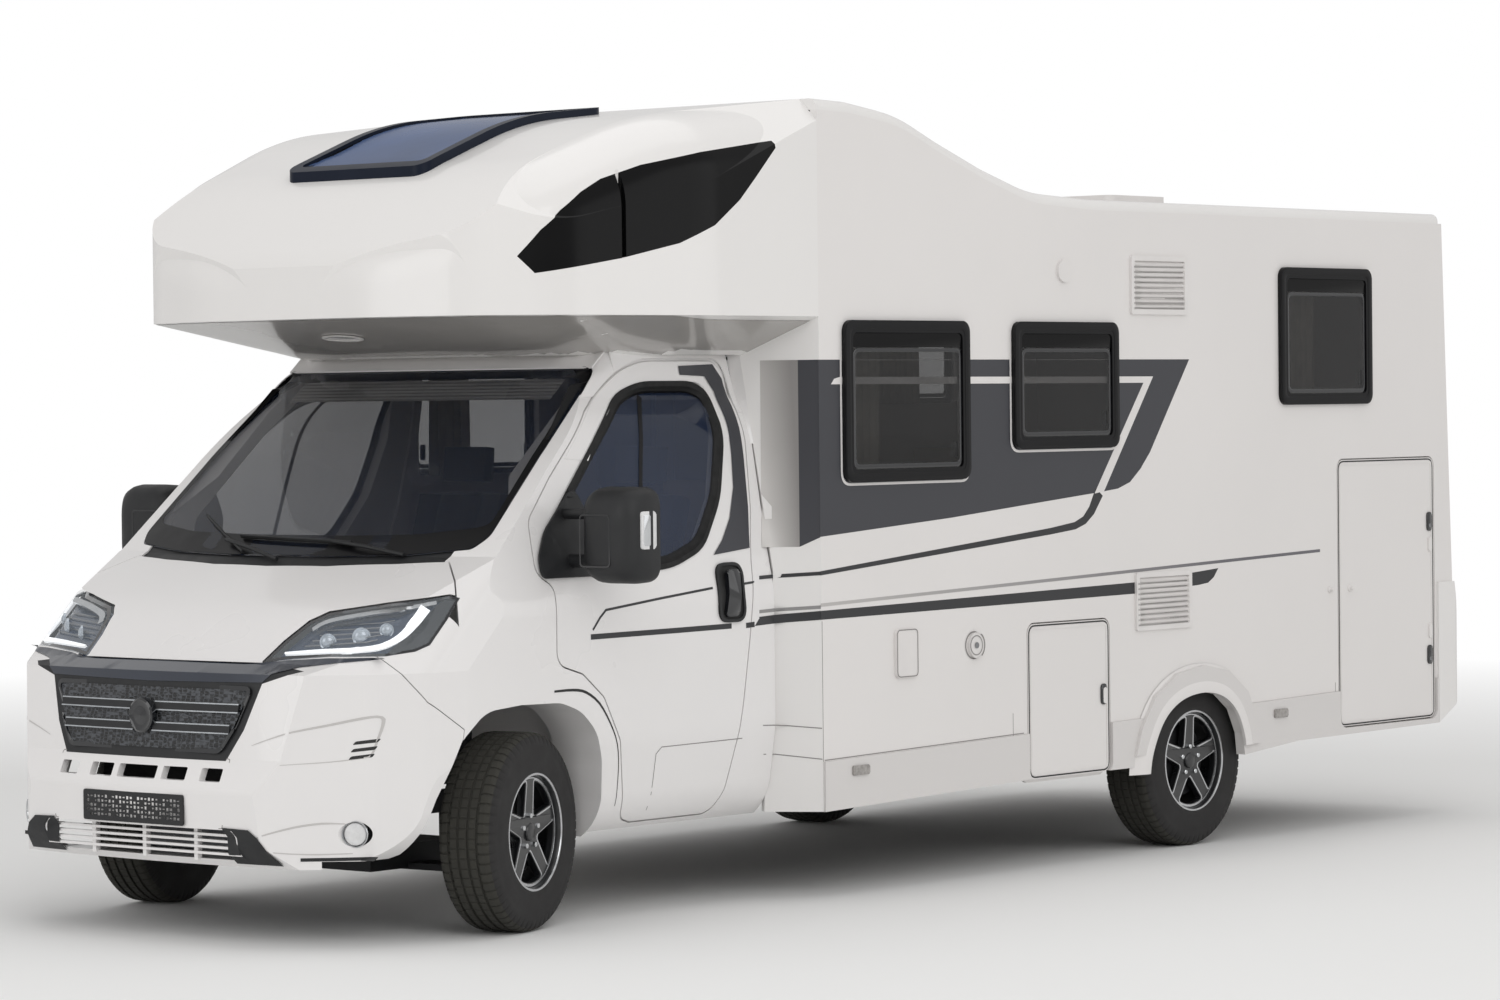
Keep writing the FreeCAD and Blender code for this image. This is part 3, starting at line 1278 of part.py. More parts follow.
def make_exhaust():
    front = rod(pipe_radius, "y", pipe_place, pipe_height, engine_rear, wheelbase - leaf_half_long)
    silencer = rod(silencer_radius, "y", pipe_place, pipe_height, rail_front, rail_front + tank_half * 2)
    top = rail_low + rail_wall * 4
    hangers = [block(pipe_place - pipe_radius, pipe_place + pipe_radius, place - gap, place + gap,
                     pipe_height, top)
               for place in cross_places[1:3]]
    tail = rod(pipe_radius, "x", wheelbase - leaf_half_long - pipe_radius, pipe_height,
               -body_half + wall_thick + overrun,
               pipe_place + pipe_radius)
    return fused([front, silencer, tail] + hangers)


def make_tail_lamps():
    lamps = []
    for side in (1, -1):
        ring = rectangle(tail_lamp_side - tail_lamp_half, tail_lamp_side + tail_lamp_half,
                         rear_bumper_high + gap,
                         rear_bumper_high + 6 * tail_lamp_half)
        lamp = prism(ring, "y", rear_low_place - wall_thick, rear_reach - overrun, tail_lamp_half / 2)
        outer = [(rear_plane(roof_low, 0), roof_low), (rear_low_place, rear_low),
                 (rear_low_place + tail_lamp_thick, rear_low),
                 (rear_plane(roof_low, -tail_lamp_thick), roof_low)]
        lamp = lamp.common(prism(outer, "x", -body_half, body_half))
        lamps.append(lamp if side > 0 else mirror(lamp))
    return group(lamps)


cab_outer = cab_volume(0, 0, cab_back)
cab_inner = cab_volume(cab_skin, door_thick, cab_back + overrun, True)
cab_glass_inner = cab_volume(screen_thick, screen_thick, cab_back + overrun)
cab_wall = cab_outer.cut(cab_inner)
arch_tool = prism(arch_outline(), "x", liner_inner, body_half, corner_soft)
arch_tools = both(arch_tool)
door_tools = both(prism(door_outline(), "x", door_reach, body_half, door_soft, gap))

export("cab_shell", make_cab_shell())
export("front_bumper", make_bumper())
export("bonnet", make_bonnet())
export("grille", make_grille())
export("headlamps", cab_outer.common(group(lamp_tools(0))))
export("windscreen", cab_outer.cut(cab_glass_inner).common(screen_tool(0)))
export("cowl", make_cowl())
export_pair("cab_door", make_door())
export_pair("door_glass", make_pane())
export_pair("mirror", make_mirror())
export("dashboard", make_dashboard())
export("steering_wheel", make_steering_wheel())
export("cab_seats", group([make_seat(seat_place, seat_front, seat_low),
                           make_seat(-seat_place, seat_front, seat_low)]))

alcove, alcove_panes, skylight_frame_ring, skylight_pane = make_alcove_pieces()
export("alcove", alcove)
export("alcove_windows", group(alcove_panes + [skylight_pane]))
export("skylight_frame", skylight_frame_ring)

export("wall_left", make_wall(left_windows, left_hatches))
export("wall_right", mirror(make_wall(right_windows, right_hatches)))
export("skirts", group([make_skirt(left_hatches), mirror(make_skirt(right_hatches))]))
export("wall_rear", make_rear_wall())
export("roof", make_roof())
export("roof_lights", make_roof_lights())
export("floor", make_floor())
export("fairings", make_fairings())
export("garage_door", make_leaf(garage_door))
export("service_hatch", make_leaf(service_door))
export("entry_door", mirror(make_leaf(entry_door)))
export("entry_glass", mirror(make_entry_glass()))
frames, panes = [], []
for size in left_windows:
    frame, pane = window_pieces(size)
    frames.append(frame)
    panes.append(pane)
for size in right_windows:
    frame, pane = window_pieces(size)
    frames.append(mirror(frame))
    panes.append(mirror(pane))
export("window_frames", group(frames))
export("window_panes", group(panes))
export("side_fittings", make_side_fittings())
export("rear_bumper", make_rear_bumper())
export("tail_lamps", make_tail_lamps())
export("furniture", make_furniture())

export("chassis_frame", make_chassis())
export("engine", make_engine())
export("radiator", make_radiator())
export("front_suspension", make_front_suspension())
export("rear_axle", make_rear_axle())
export("tank", make_tank())
export("exhaust", make_exhaust())
knuckle = make_knuckle(1)
export("knuckle_left", steered(knuckle.copy()))
export("knuckle_right", steered_right(mirror(knuckle)))
front_rim, front_tyre = make_rim(front_track_half, 0), make_tyre(front_track_half, 0)
rear_rim, rear_tyre = make_rim(rear_track_half, wheelbase), make_tyre(rear_track_half, wheelbase)
export("rim_front_left", steered(front_rim.copy()))
export("rim_front_right", steered_right(mirror(front_rim)))
export("tyre_front_left", steered(front_tyre.copy()))
export("tyre_front_right", steered_right(mirror(front_tyre)))
export("rim_rear_left", rear_rim)
export("rim_rear_right", mirror(rear_rim))
export("tyre_rear_left", rear_tyre)
export("tyre_rear_right", mirror(rear_tyre))
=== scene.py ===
import json
import math

import bmesh
import bpy
from mathutils import Matrix, Vector
from mathutils.bvhtree import BVHTree

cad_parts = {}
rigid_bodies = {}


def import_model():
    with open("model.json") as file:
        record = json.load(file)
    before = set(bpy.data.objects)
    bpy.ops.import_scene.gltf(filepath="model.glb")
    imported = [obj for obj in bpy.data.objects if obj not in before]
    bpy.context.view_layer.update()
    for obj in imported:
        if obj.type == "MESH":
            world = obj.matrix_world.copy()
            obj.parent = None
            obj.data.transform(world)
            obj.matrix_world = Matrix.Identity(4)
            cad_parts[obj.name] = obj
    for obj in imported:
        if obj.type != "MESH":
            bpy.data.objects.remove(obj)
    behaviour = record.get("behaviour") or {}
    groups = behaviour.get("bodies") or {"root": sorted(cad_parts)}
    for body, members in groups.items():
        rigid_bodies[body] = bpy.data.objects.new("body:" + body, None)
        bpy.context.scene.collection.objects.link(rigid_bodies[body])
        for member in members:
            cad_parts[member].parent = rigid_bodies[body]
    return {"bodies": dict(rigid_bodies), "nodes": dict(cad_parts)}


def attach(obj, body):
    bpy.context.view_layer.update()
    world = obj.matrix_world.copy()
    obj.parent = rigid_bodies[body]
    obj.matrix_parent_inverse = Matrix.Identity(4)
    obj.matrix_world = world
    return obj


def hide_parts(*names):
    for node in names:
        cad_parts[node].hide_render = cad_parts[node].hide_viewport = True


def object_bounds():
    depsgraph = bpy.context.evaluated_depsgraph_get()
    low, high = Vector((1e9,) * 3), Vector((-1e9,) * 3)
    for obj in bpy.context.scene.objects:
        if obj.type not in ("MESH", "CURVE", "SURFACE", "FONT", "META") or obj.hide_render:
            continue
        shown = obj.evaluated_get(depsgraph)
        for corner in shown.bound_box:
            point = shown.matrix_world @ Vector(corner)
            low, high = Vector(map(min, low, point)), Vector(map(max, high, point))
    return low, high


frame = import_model()
nodes = frame["nodes"]
cad_low, cad_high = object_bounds()

# the sizes below are in metres and count y from the front axle, as the part's source does
MID = 2.546
AXLE_Z = 0.360
WHEELBASE = 4.035
BODY_HALF = 1.160


# colours and materials

def rgb(code):
    def channel(pair):
        value = int(pair, 16) / 255
        return value / 12.92 if value <= 0.04045 else ((value + 0.055) / 1.055) ** 2.4
    return tuple(channel(code[i:i + 2]) for i in (0, 2, 4)) + (1.0,)


def tinted(colour, factor):
    return tuple(min(1.0, c * factor) for c in colour[:3]) + (1.0,)


def new_node(tree, kind, **values):
    node = tree.nodes.new(kind)
    for key, value in values.items():
        node.inputs[key].default_value = value
    return node


def noise(tree, scale, detail=3.0, stretch=(1, 1, 1)):
    coords = tree.nodes.new("ShaderNodeTexCoord")
    mapping = new_node(tree, "ShaderNodeMapping", Scale=stretch)
    texture = new_node(tree, "ShaderNodeTexNoise", Scale=scale, Detail=detail)
    tree.links.new(coords.outputs["Object"], mapping.inputs["Vector"])
    tree.links.new(mapping.outputs["Vector"], texture.inputs["Vector"])
    return texture.outputs["Fac"]


def mapped(tree, source, low, high, from_low=0.3, from_high=0.7):
    node = new_node(tree, "ShaderNodeMapRange", **{
        "From Min": from_low, "From Max": from_high, "To Min": low, "To Max": high})
    tree.links.new(source, node.inputs["Value"])
    return node.outputs["Result"]


def mixed(tree, factor, first, second):
    node = tree.nodes.new("ShaderNodeMix")
    node.data_type = "RGBA"
    for index, colour in ((6, first), (7, second)):
        if isinstance(colour, tuple):
            node.inputs[index].default_value = colour
        else:
            tree.links.new(colour, node.inputs[index])
    tree.links.new(factor, node.inputs[0])
    return node.outputs[2]


def bumped(tree, bsdf, height, strength, distance):
    node = new_node(tree, "ShaderNodeBump", Strength=strength, Distance=distance)
    tree.links.new(height, node.inputs["Height"])
    tree.links.new(node.outputs["Normal"], bsdf.inputs["Normal"])
    return node


def surface(name, code, rough=0.4, metal=0.0, coat=0.0, vary=0.04, patch=3.0, grain=500.0, bump=0.1,
            deep=0.0002, sheen=0.0, alpha=1.0, level=0.5, stretch=(1, 1, 1)):
    mat = bpy.data.materials.new(name)
    mat.use_nodes = True
    tree = mat.node_tree
    bsdf = tree.nodes["Principled BSDF"]
    colour = rgb(code)
    drift = noise(tree, patch, 4.0, stretch)
    base = mixed(tree, mapped(tree, drift, 0.0, 1.0), tinted(colour, 1 - vary), tinted(colour, 1 + vary))
    tree.links.new(base, bsdf.inputs["Base Color"])
    swing = min(0.12, vary * 2.5)
    tree.links.new(mapped(tree, drift, rough * (1 - swing), min(1.0, rough * (1 + swing))),
                   bsdf.inputs["Roughness"])
    bsdf.inputs["Metallic"].default_value = metal
    bsdf.inputs["Coat Weight"].default_value = coat
    bsdf.inputs["Coat Roughness"].default_value = 0.06
    bsdf.inputs["Sheen Weight"].default_value = sheen
    bsdf.inputs["Specular IOR Level"].default_value = level
    bsdf.inputs["Alpha"].default_value = alpha
    bumped(tree, bsdf, noise(tree, grain, 2.0, stretch), bump, deep)
    mat["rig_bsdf"] = bsdf.name
    return mat


def glass(name, code, alpha, rough=0.03):
    return surface(name, code, rough=rough, coat=0.4, vary=0.15, patch=1.2, grain=40.0, bump=0.02,
                   deep=0.0004, alpha=alpha, level=0.6)


def glow(name, code, strength):
    mat = surface(name, code, rough=0.2, coat=0.5, vary=0.03, patch=20.0)
    bsdf = mat.node_tree.nodes[mat["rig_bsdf"]]
    bsdf.inputs["Emission Color"].default_value = rgb(code)
    bsdf.inputs["Emission Strength"].default_value = strength
    return mat


def faded(name, first, second, start, end):
    # one colour passes into another along the vehicle
    mat = surface(name, first, rough=0.36, coat=0.2, vary=0.03, patch=2.0)
    tree = mat.node_tree
    bsdf = tree.nodes[mat["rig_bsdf"]]
    coords = tree.nodes.new("ShaderNodeTexCoord")
    split = tree.nodes.new("ShaderNodeSeparateXYZ")
    tree.links.new(coords.outputs["Object"], split.inputs["Vector"])
    share = mapped(tree, split.outputs["Y"], 0.0, 1.0, start - MID, end - MID)
    base = bsdf.inputs["Base Color"].links[0].from_socket
    drift = mixed(tree, share, base, rgb(second))
    tree.links.new(drift, bsdf.inputs["Base Color"])
    return mat


def pale_floor(name):
    # shaded near the vehicle, plain white far away, so that no horizon shows
    mat = surface(name, "f1f1f0", 0.8, vary=0.006, patch=0.15, grain=40.0, bump=0.01, level=0.2)
    tree = mat.node_tree
    coords = tree.nodes.new("ShaderNodeTexCoord")
    gradient = tree.nodes.new("ShaderNodeVectorMath")
    gradient.operation = "LENGTH"
    tree.links.new(coords.outputs["Object"], gradient.inputs[0])
    share = mapped(tree, gradient.outputs["Value"], 0.0, 1.0, 6.0, 15.0)
    glow_white = new_node(tree, "ShaderNodeEmission", Color=(1, 1, 1, 1), Strength=1.0)
    path = tree.nodes.new("ShaderNodeLightPath")
    seen_only = tree.nodes.new("ShaderNodeMath")
    seen_only.operation = "MULTIPLY"
    tree.links.new(share, seen_only.inputs[0])
    tree.links.new(path.outputs["Is Camera Ray"], seen_only.inputs[1])
    mix = tree.nodes.new("ShaderNodeMixShader")
    out = next(n for n in tree.nodes if n.type == "OUTPUT_MATERIAL")
    tree.links.new(seen_only.outputs["Value"], mix.inputs["Fac"])
    tree.links.new(tree.nodes[mat["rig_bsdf"]].outputs["BSDF"], mix.inputs[1])
    tree.links.new(glow_white.outputs["Emission"], mix.inputs[2])
    tree.links.new(mix.outputs["Shader"], out.inputs["Surface"])
    return mat


def mesh_cells(name):
    # moulded cells behind the grille's bars, as a filled field: the holes painted dark as shade, the webs
    # painted lighter as their highlights
    mat = surface(name, "0a0b0d", 0.4, coat=0.3, vary=0.2, patch=20.0)
    tree = mat.node_tree
    bsdf = tree.nodes[mat["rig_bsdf"]]
    coords = tree.nodes.new("ShaderNodeTexCoord")
    stretch = new_node(tree, "ShaderNodeMapping", Scale=(44.0, 1.0, 100.0))
    cells = tree.nodes.new("ShaderNodeTexVoronoi")
    cells.feature = "DISTANCE_TO_EDGE"
    cells.inputs["Scale"].default_value = 1.0
    cells.inputs["Randomness"].default_value = 0.35
    tree.links.new(coords.outputs["Object"], stretch.inputs["Vector"])
    tree.links.new(stretch.outputs["Vector"], cells.inputs["Vector"])
    web_and_highlight = mapped(tree, cells.outputs["Distance"], 1.0, 0.0, 0.04, 0.16)
    # painted shade in the near-black holes, painted highlight on the grey webs
    tree.links.new(mixed(tree, web_and_highlight, rgb("050506"), rgb("45484d")), bsdf.inputs["Base Color"])
    bumped(tree, bsdf, web_and_highlight, 0.9, 0.004)
    return mat


M = {
    "cab_white": surface("cab_white", "e9e7e6", 0.28, coat=0.6, vary=0.012, patch=1.3, grain=260.0,
                         bump=0.035, deep=0.0003),
    "wall_white": surface("wall_white", "e6e3e1", 0.34, coat=0.35, vary=0.015, patch=0.9, grain=18.0,
                          bump=0.02, deep=0.0010),
    "shell_white": surface("shell_white", "eae8e6", 0.30, coat=0.5, vary=0.012, patch=1.0, grain=60.0,
                           bump=0.03, deep=0.0005),
    "skirt_grey": surface("skirt_grey", "d9d6d4", 0.36, coat=0.25, vary=0.02, patch=1.5, grain=90.0,
                          bump=0.03,
                          stretch=(1, 0.1, 1)),
    "trim_white": surface("trim_white", "e2dfdd", 0.45, vary=0.03, patch=8.0, grain=700.0, bump=0.08),
    "plastic": surface("plastic", "1b1c1e", 0.55, vary=0.10, patch=14.0, grain=1400.0, bump=0.35,
                       deep=0.0003),
    "plastic_soft": surface("plastic_soft", "26272a", 0.62, vary=0.12, patch=10.0, grain=900.0, bump=0.4,
                            deep=0.0003),
    "gloss_black": surface("gloss_black", "131519", 0.12, coat=0.8, vary=0.15, patch=6.0, grain=200.0,
                           bump=0.02),
    "frame_black": surface("frame_black", "101012", 0.34, vary=0.1, patch=12.0, grain=600.0, bump=0.08,
                           level=0.22),
    "rubber": surface("rubber", "0c0c0d", 0.7, vary=0.15, patch=30.0, grain=900.0, bump=0.3),
    "decor_grey": surface("decor_grey", "34353b", 0.38, coat=0.15, vary=0.035, patch=2.0, grain=220.0,
                          bump=0.03),
    "decor_dark": surface("decor_dark", "242528", 0.40, coat=0.15, vary=0.04, patch=2.0, grain=220.0,
                          bump=0.03),
    "lamp_deep": surface("lamp_deep", "2b3a52", 0.22, coat=0.5, vary=0.25, patch=9.0, grain=60.0, bump=0.2,
                         deep=0.002, stretch=(1, 1, 3)),
    "projector": surface("projector", "b9c2cc", 0.10, metal=0.35, coat=0.8, vary=0.2, patch=40.0),
    "chrome_dark": surface("chrome_dark", "c3c7cb", 0.24, metal=0.9, vary=0.10, patch=30.0),
    "floor_pale": pale_floor("floor_pale"),
    "grille_mesh": mesh_cells("grille_mesh"),
    # the nose bar's glossy black, with a painted blue reflection in its colour
    "bar_blue": surface("bar_blue", "1e2635", 0.22, coat=0.7, vary=0.10, patch=4.0, grain=500.0, bump=0.03),
    # painted shade: grey for the alcove's white underside, which lies in shadow
    "under_grey": surface("under_grey", "a8a5a1", 0.24, coat=0.6, vary=0.10, patch=1.4, grain=30.0, bump=0.03,
                          deep=0.001),
    "skylight_trim": surface("skylight_trim", "161d2c", 0.35, level=0.15, vary=0.10, patch=5.0, grain=300.0,
                             bump=0.03),
    "decor_fade": faded("decor_fade", "c2bfbc", "66656a", 1.2, 4.2),
    # painted shading: near white falling off to grey across the angled fairing
    "decor_silver": faded("decor_silver", "cfccc9", "8b8886", 1.375, 1.445),
    "decor_pale": surface("decor_pale", "8f8e8d", 0.40, coat=0.15, vary=0.04, patch=2.0),
    "seam": surface("seam", "8b8886", 0.6, vary=0.06, patch=5.0),
    "seam_dark": surface("seam_dark", "2a2a2a", 0.7, vary=0.08, patch=5.0),
    "screen": glass("screen", "182030", 0.40),
    "side_glass": glass("side_glass", "22304a", 0.52),
    # dark tinted glass whose blue lightness is a painted reflection of the sky, with its own specular turned
    # down
    "roof_glass": surface("roof_glass", "44577c", 0.25, vary=0.22, patch=1.6, grain=40.0, bump=0.03,
                          level=0.08),
    "night_glass": surface("night_glass", "0a0a0b", 0.20, vary=0.2, patch=2.0, grain=60.0, bump=0.03,
                           level=0.16),
    "pane": glass("pane", "0e0f11", 0.46),
    "lens": glass("lens", "c8d0d6", 0.16),
    "lens_red": glass("lens_red", "a01612", 0.85, 0.10),
    "lens_white": surface("lens_white", "dcdcdc", 0.12, coat=0.7, vary=0.06, patch=60.0, grain=120.0,
                          bump=0.5, deep=0.001),
    "blind": surface("blind", "c9c6c2", 0.8, vary=0.05, patch=9.0, grain=300.0, bump=0.2),
    "marker": surface("marker", "9a9692", 0.15, coat=0.6, vary=0.25, patch=60.0, grain=150.0, bump=0.4,
                      deep=0.001),
    "slat_shade": surface("slat_shade", "a5a2a0", 0.6, vary=0.06, patch=9.0),
    # painted shade: the soft grey lines at the bumper's scoop edges
    "crease": surface("crease", "c5c2c0", 0.5, vary=0.02, patch=5.0),
    "light_guide": glow("light_guide", "f4f6f8", 0.55),
    "chrome": surface("chrome", "d0d2d4", 0.12, metal=1.0, vary=0.05, patch=20.0, grain=300.0, bump=0.02),
    "steel": surface("steel", "8d8e90", 0.38, metal=0.9, vary=0.12, patch=18.0, grain=240.0, bump=0.15,
                     stretch=(1, 8, 1)),
    "machined": surface("machined", "c9cacc", 0.24, metal=0.95, vary=0.06, patch=30.0, grain=900.0, bump=0.10,
                        stretch=(1, 1, 6)),
    "rim_black": surface("rim_black", "17181a", 0.30, coat=0.5, vary=0.12, patch=14.0, grain=500.0,
                         bump=0.06),
    "tyre": surface("tyre", "272626", 0.82, vary=0.10, patch=9.0, grain=420.0, bump=0.45, deep=0.0006),
    "tread": surface("tread", "35342f", 0.88, vary=0.16, patch=40.0, grain=300.0, bump=0.6, deep=0.0010),
    "underbody": surface("underbody", "19191a", 0.75, vary=0.25, patch=6.0, grain=160.0, bump=0.5,
                         deep=0.0008),
    "frame_steel": surface("frame_steel", "222325", 0.55, metal=0.4, vary=0.2, patch=7.0, grain=200.0,
                           bump=0.3, deep=0.0006),
    "engine": surface("engine", "5a5b5e", 0.5, metal=0.6, vary=0.2, patch=9.0, grain=140.0, bump=0.5,
                      deep=0.001),
    "exhaust": surface("exhaust", "7c766e", 0.45, metal=0.8, vary=0.25, patch=8.0, grain=160.0, bump=0.3,
                       deep=0.0006),
    "cloth": surface("cloth", "37383b", 0.9, vary=0.14, patch=30.0, grain=1100.0, bump=0.7, deep=0.0009,
                     sheen=0.35),
    "curtain": surface("curtain", "b9b3a8", 0.92, vary=0.10, patch=18.0, grain=900.0, bump=0.6, deep=0.0006,
                       sheen=0.3),
    "wood": surface("wood", "a48f70", 0.5, vary=0.16, patch=5.0, grain=90.0, bump=0.15, stretch=(1, 1, 0.08)),
    "floor_board": surface("floor_board", "4a4540", 0.6, vary=0.18, patch=7.0, grain=60.0, bump=0.2,
                           stretch=(8, 0.4, 1)),
    "plate": surface("plate", "26272a", 0.5, vary=0.08, patch=10.0, grain=400.0, bump=0.1),
}
HOME = {
    "cab_shell": "cab_white", "bonnet": "cab_white", "cab_door_left": "cab_white",
    "cab_door_right": "cab_white",
    "front_bumper": "cab_white", "alcove": "shell_white", "fairings": "shell_white",
    "rear_bumper": "shell_white",
    "wall_left": "wall_white", "wall_right": "wall_white", "wall_rear": "wall_white",
    "garage_door": "wall_white",
    "service_hatch": "wall_white", "entry_door": "wall_white", "roof": "shell_white", "skirts": "skirt_grey",
    "grille": "plastic", "cowl": "plastic", "mirror_left": "plastic", "mirror_right": "plastic",
    "window_frames": "frame_black", "skylight_frame": "skylight_trim", "side_fittings": "trim_white",
    "dashboard": "plastic_soft", "steering_wheel": "plastic_soft", "tank": "underbody",
    "windscreen": "screen",
    "door_glass_left": "side_glass", "door_glass_right": "side_glass", "entry_glass": "pane",
    "window_panes": "pane", "alcove_windows": "night_glass", "headlamps": "lens", "tail_lamps": "lens_red",
    "roof_lights": "trim_white", "cab_seats": "cloth", "furniture": "wood", "floor": "floor_board",
    "chassis_frame": "frame_steel", "front_suspension": "frame_steel", "rear_axle": "frame_steel",
    "knuckle_left": "steel", "knuckle_right": "steel", "exhaust": "exhaust", "radiator": "underbody",
    "engine": "engine",
}


def cad_mesh(node):
    mesh = bpy.data.objects[node].data
    return [v.co.copy() for v in mesh.vertices], [tuple(p.vertices) for p in mesh.polygons]


trees = {}


def tree_of(names):
    key = tuple(names)
    if key not in trees:
        points, faces = [], []
        for name in key:
            own_points, own_faces = cad_mesh(name)
            base = len(points)
            points += own_points
            faces += [tuple(i + base for i in face) for face in own_faces]
        trees[key] = BVHTree.FromPolygons(points, faces)
    return trees[key]


def painted(mesh, material):
    mesh.materials.clear()
    mesh.materials.append(M[material])


for node_name, material_name in HOME.items():
    painted(nodes[node_name].data, material_name)


# outlines

def rounded(points, radius, steps=6):
    # the corners of a closed outline as short runs of points on an arc
    out = []
    count = len(points)
    radii = radius if isinstance(radius, list) else [radius] * count
    for i in range(count):
        here = Vector(points[i])
        before = Vector(points[i - 1]) - here
        after = Vector(points[(i + 1) % count]) - here
        reach = min(radii[i], before.length * 0.49, after.length * 0.49)
        angle = before.angle(after) if before.length and after.length else math.pi
        if reach <= 1e-5 or abs(math.sin(angle)) < 0.02:
            out.append(tuple(here))
            continue
        start, end = here + before.normalized() * reach, here + after.normalized() * reach
        for k in range(steps + 1):
            t = k / steps
            out.append(tuple(start * (1 - t) ** 2 + here * 2 * t * (1 - t) + end * t ** 2))
    return out


def box_outline(low_u, high_u, low_v, high_v, radius=0.0, steps=6):
    corners = [(low_u, low_v), (high_u, low_v), (high_u, high_v), (low_u, high_v)]
    return rounded(corners, radius, steps) if radius else corners


def oval(u, v, ru, rv, count=28):
    return [(u + ru * math.cos(2 * math.pi * k / count), v + rv * math.sin(2 * math.pi * k / count))
            for k in range(count)]


def ribbon(points, width):
    # the outline of a band along a line of points; width is one number or one for each point
    widths = width if isinstance(width, list) else [width] * len(points)
    left, right = [], []
    for i, point in enumerate(points):
        here = Vector(point)
        before = (here - Vector(points[i - 1])).normalized() if i else None
        after = (Vector(points[i + 1]) - here).normalized() if i < len(points) - 1 else None
        along = ((before or after) + (after or before)).normalized()
        across = Vector((-along.y, along.x))
        bend = (before or after).dot(along)
        half = widths[i] / 2 / max(bend, 0.5)
        left.append(tuple(here + across * half))
        right.append(tuple(here - across * half))
    return left + right[::-1]


def curved(points, steps=6):
    # a smooth line through a few points
    out = []
    count = len(points)
    for i in range(count - 1):
        p0, p1 = Vector(points[max(i - 1, 0)]), Vector(points[i])
        p2, p3 = Vector(points[i + 1]), Vector(points[min(i + 2, count - 1)])
        for k in range(steps):
            t = k / steps
            out.append(tuple(0.5 * (2 * p1 + (p2 - p0) * t + (2 * p0 - 5 * p1 + 4 * p2 - p3) * t * t
                                    + (3 * p1 - p0 - 3 * p2 + p3) * t ** 3)))
    return out + [tuple(points[-1])]


def spread(shares, low_u, high_u, low_v, high_v):
    return [(low_u + (high_u - low_u) * a, low_v + (high_v - low_v) * b) for a, b in shares]


def between(a, b, t):
    # a place on the way from one point to another
    return tuple(p * (1 - t) + q * t for p, q in zip(a, b))


def spaced(widths, steps):
    # the widths of a line that curved() has cut into more points
    out = []
    for a, b in zip(widths, widths[1:]):
        out += [a + (b - a) * k / steps for k in range(steps)]
    return out + [widths[-1]]


def both_halves(points):
    return points + [(-u, v) for u, v in reversed(points)]


# pieces

def linked(name, data):
    obj = bpy.data.objects.new(name, data)
    bpy.context.scene.collection.objects.link(obj)
    return obj


def mesh_from(bm, name):
    mesh = bpy.data.meshes.new(name)
    bm.to_mesh(mesh)
    bm.free()
    return mesh


def finished(name, mesh, material, body, smooth=True):
    obj = linked(name, mesh)
    painted(mesh, material)
    for face in mesh.polygons:
        face.use_smooth = smooth
    if smooth:
        mesh.set_sharp_from_angle(angle=math.radians(32))
    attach(obj, body)
    return obj


def from_bmesh(name, bm, material, body):
    bmesh.ops.recalc_face_normals(bm, faces=bm.faces)
    return finished(name, mesh_from(bm, name), material, body)


def join_rings(bm, rings):
    # faces between neighbouring rings of as many points each
    for a, b in zip(rings, rings[1:]):
        for i in range(len(a)):
            j = (i + 1) % len(a)
            bm.faces.new((a[i], b[i], b[j], a[j]))


# each view gives the direction that looks out of the surface, and the two directions of its outlines
VIEWS = {
    "x": (Vector((1, 0, 0)), Vector((0, 1, 0)), Vector((0, 0, 1))),
    "y": (Vector((0, -1, 0)), Vector((1, 0, 0)), Vector((0, 0, 1))),
    "z": (Vector((0, 0, 1)), Vector((1, 0, 0)), Vector((0, 1, 0))),
    "rear": (Vector((0, 1, 0)), Vector((-1, 0, 0)), Vector((0, 0, 1))),
    "under": (Vector((0, 0, -1)), Vector((1, 0, 0)), Vector((0, 1, 0))),
    "corner": (Vector((0.62, -0.7846, 0)), Vector((0.7846, 0.62, 0)), Vector((0, 0, 1))),
}


SHIFT = Vector((0, MID, 0))
FAR = 8.0


def lifted(axis, u, v, w):
    out, along, up = VIEWS[axis]
    return out * w + along * u + up * v - SHIFT


def seen(axis, points):
    # points of the axle frame as the two numbers of an outline
    out, along, up = VIEWS[axis]
    return [(along.dot(Vector(p)), up.dot(Vector(p))) for p in points]


def slab(name, outline, axis, low, high, material, body, soft=0.0):
    # a closed plate with softened edges
    bm = bmesh.new()
    bottom = [bm.verts.new(lifted(axis, u, v, low)) for u, v in outline]
    top = [bm.verts.new(lifted(axis, u, v, high)) for u, v in outline]
    count = len(outline)
    faces = [bm.faces.new(bottom), bm.faces.new(top[::-1])]
    for i in range(count):
        faces.append(bm.faces.new((bottom[i], top[i], top[(i + 1) % count], bottom[(i + 1) % count])))
    if soft:
        edges = [e for f in faces[:2] for e in f.edges]
        bmesh.ops.bevel(bm, geom=edges, offset=soft, segments=2, profile=0.5, affect="EDGES",
                        clamp_overlap=True)
    return from_bmesh(name, bm, material, body)


def ring_slab(name, outer, inner, axis, low, high, material, body, soft=0.0):
    # a closed frame between two outlines with as many points each
    bm = bmesh.new()
    loops = [[bm.verts.new(lifted(axis, u, v, w)) for u, v in ring]
             for ring, w in ((outer, low), (outer, high), (inner, high), (inner, low))]
    join_rings(bm, loops + loops[:1])
    if soft:
        edges = [e for e in bm.edges if e.verts[0] in loops[1] and e.verts[1] in loops[1]
                 or e.verts[0] in loops[2] and e.verts[1] in loops[2]]
        bmesh.ops.bevel(bm, geom=edges, offset=soft, segments=2, profile=0.5, affect="EDGES",
                        clamp_overlap=True)
    return from_bmesh(name, bm, material, body)


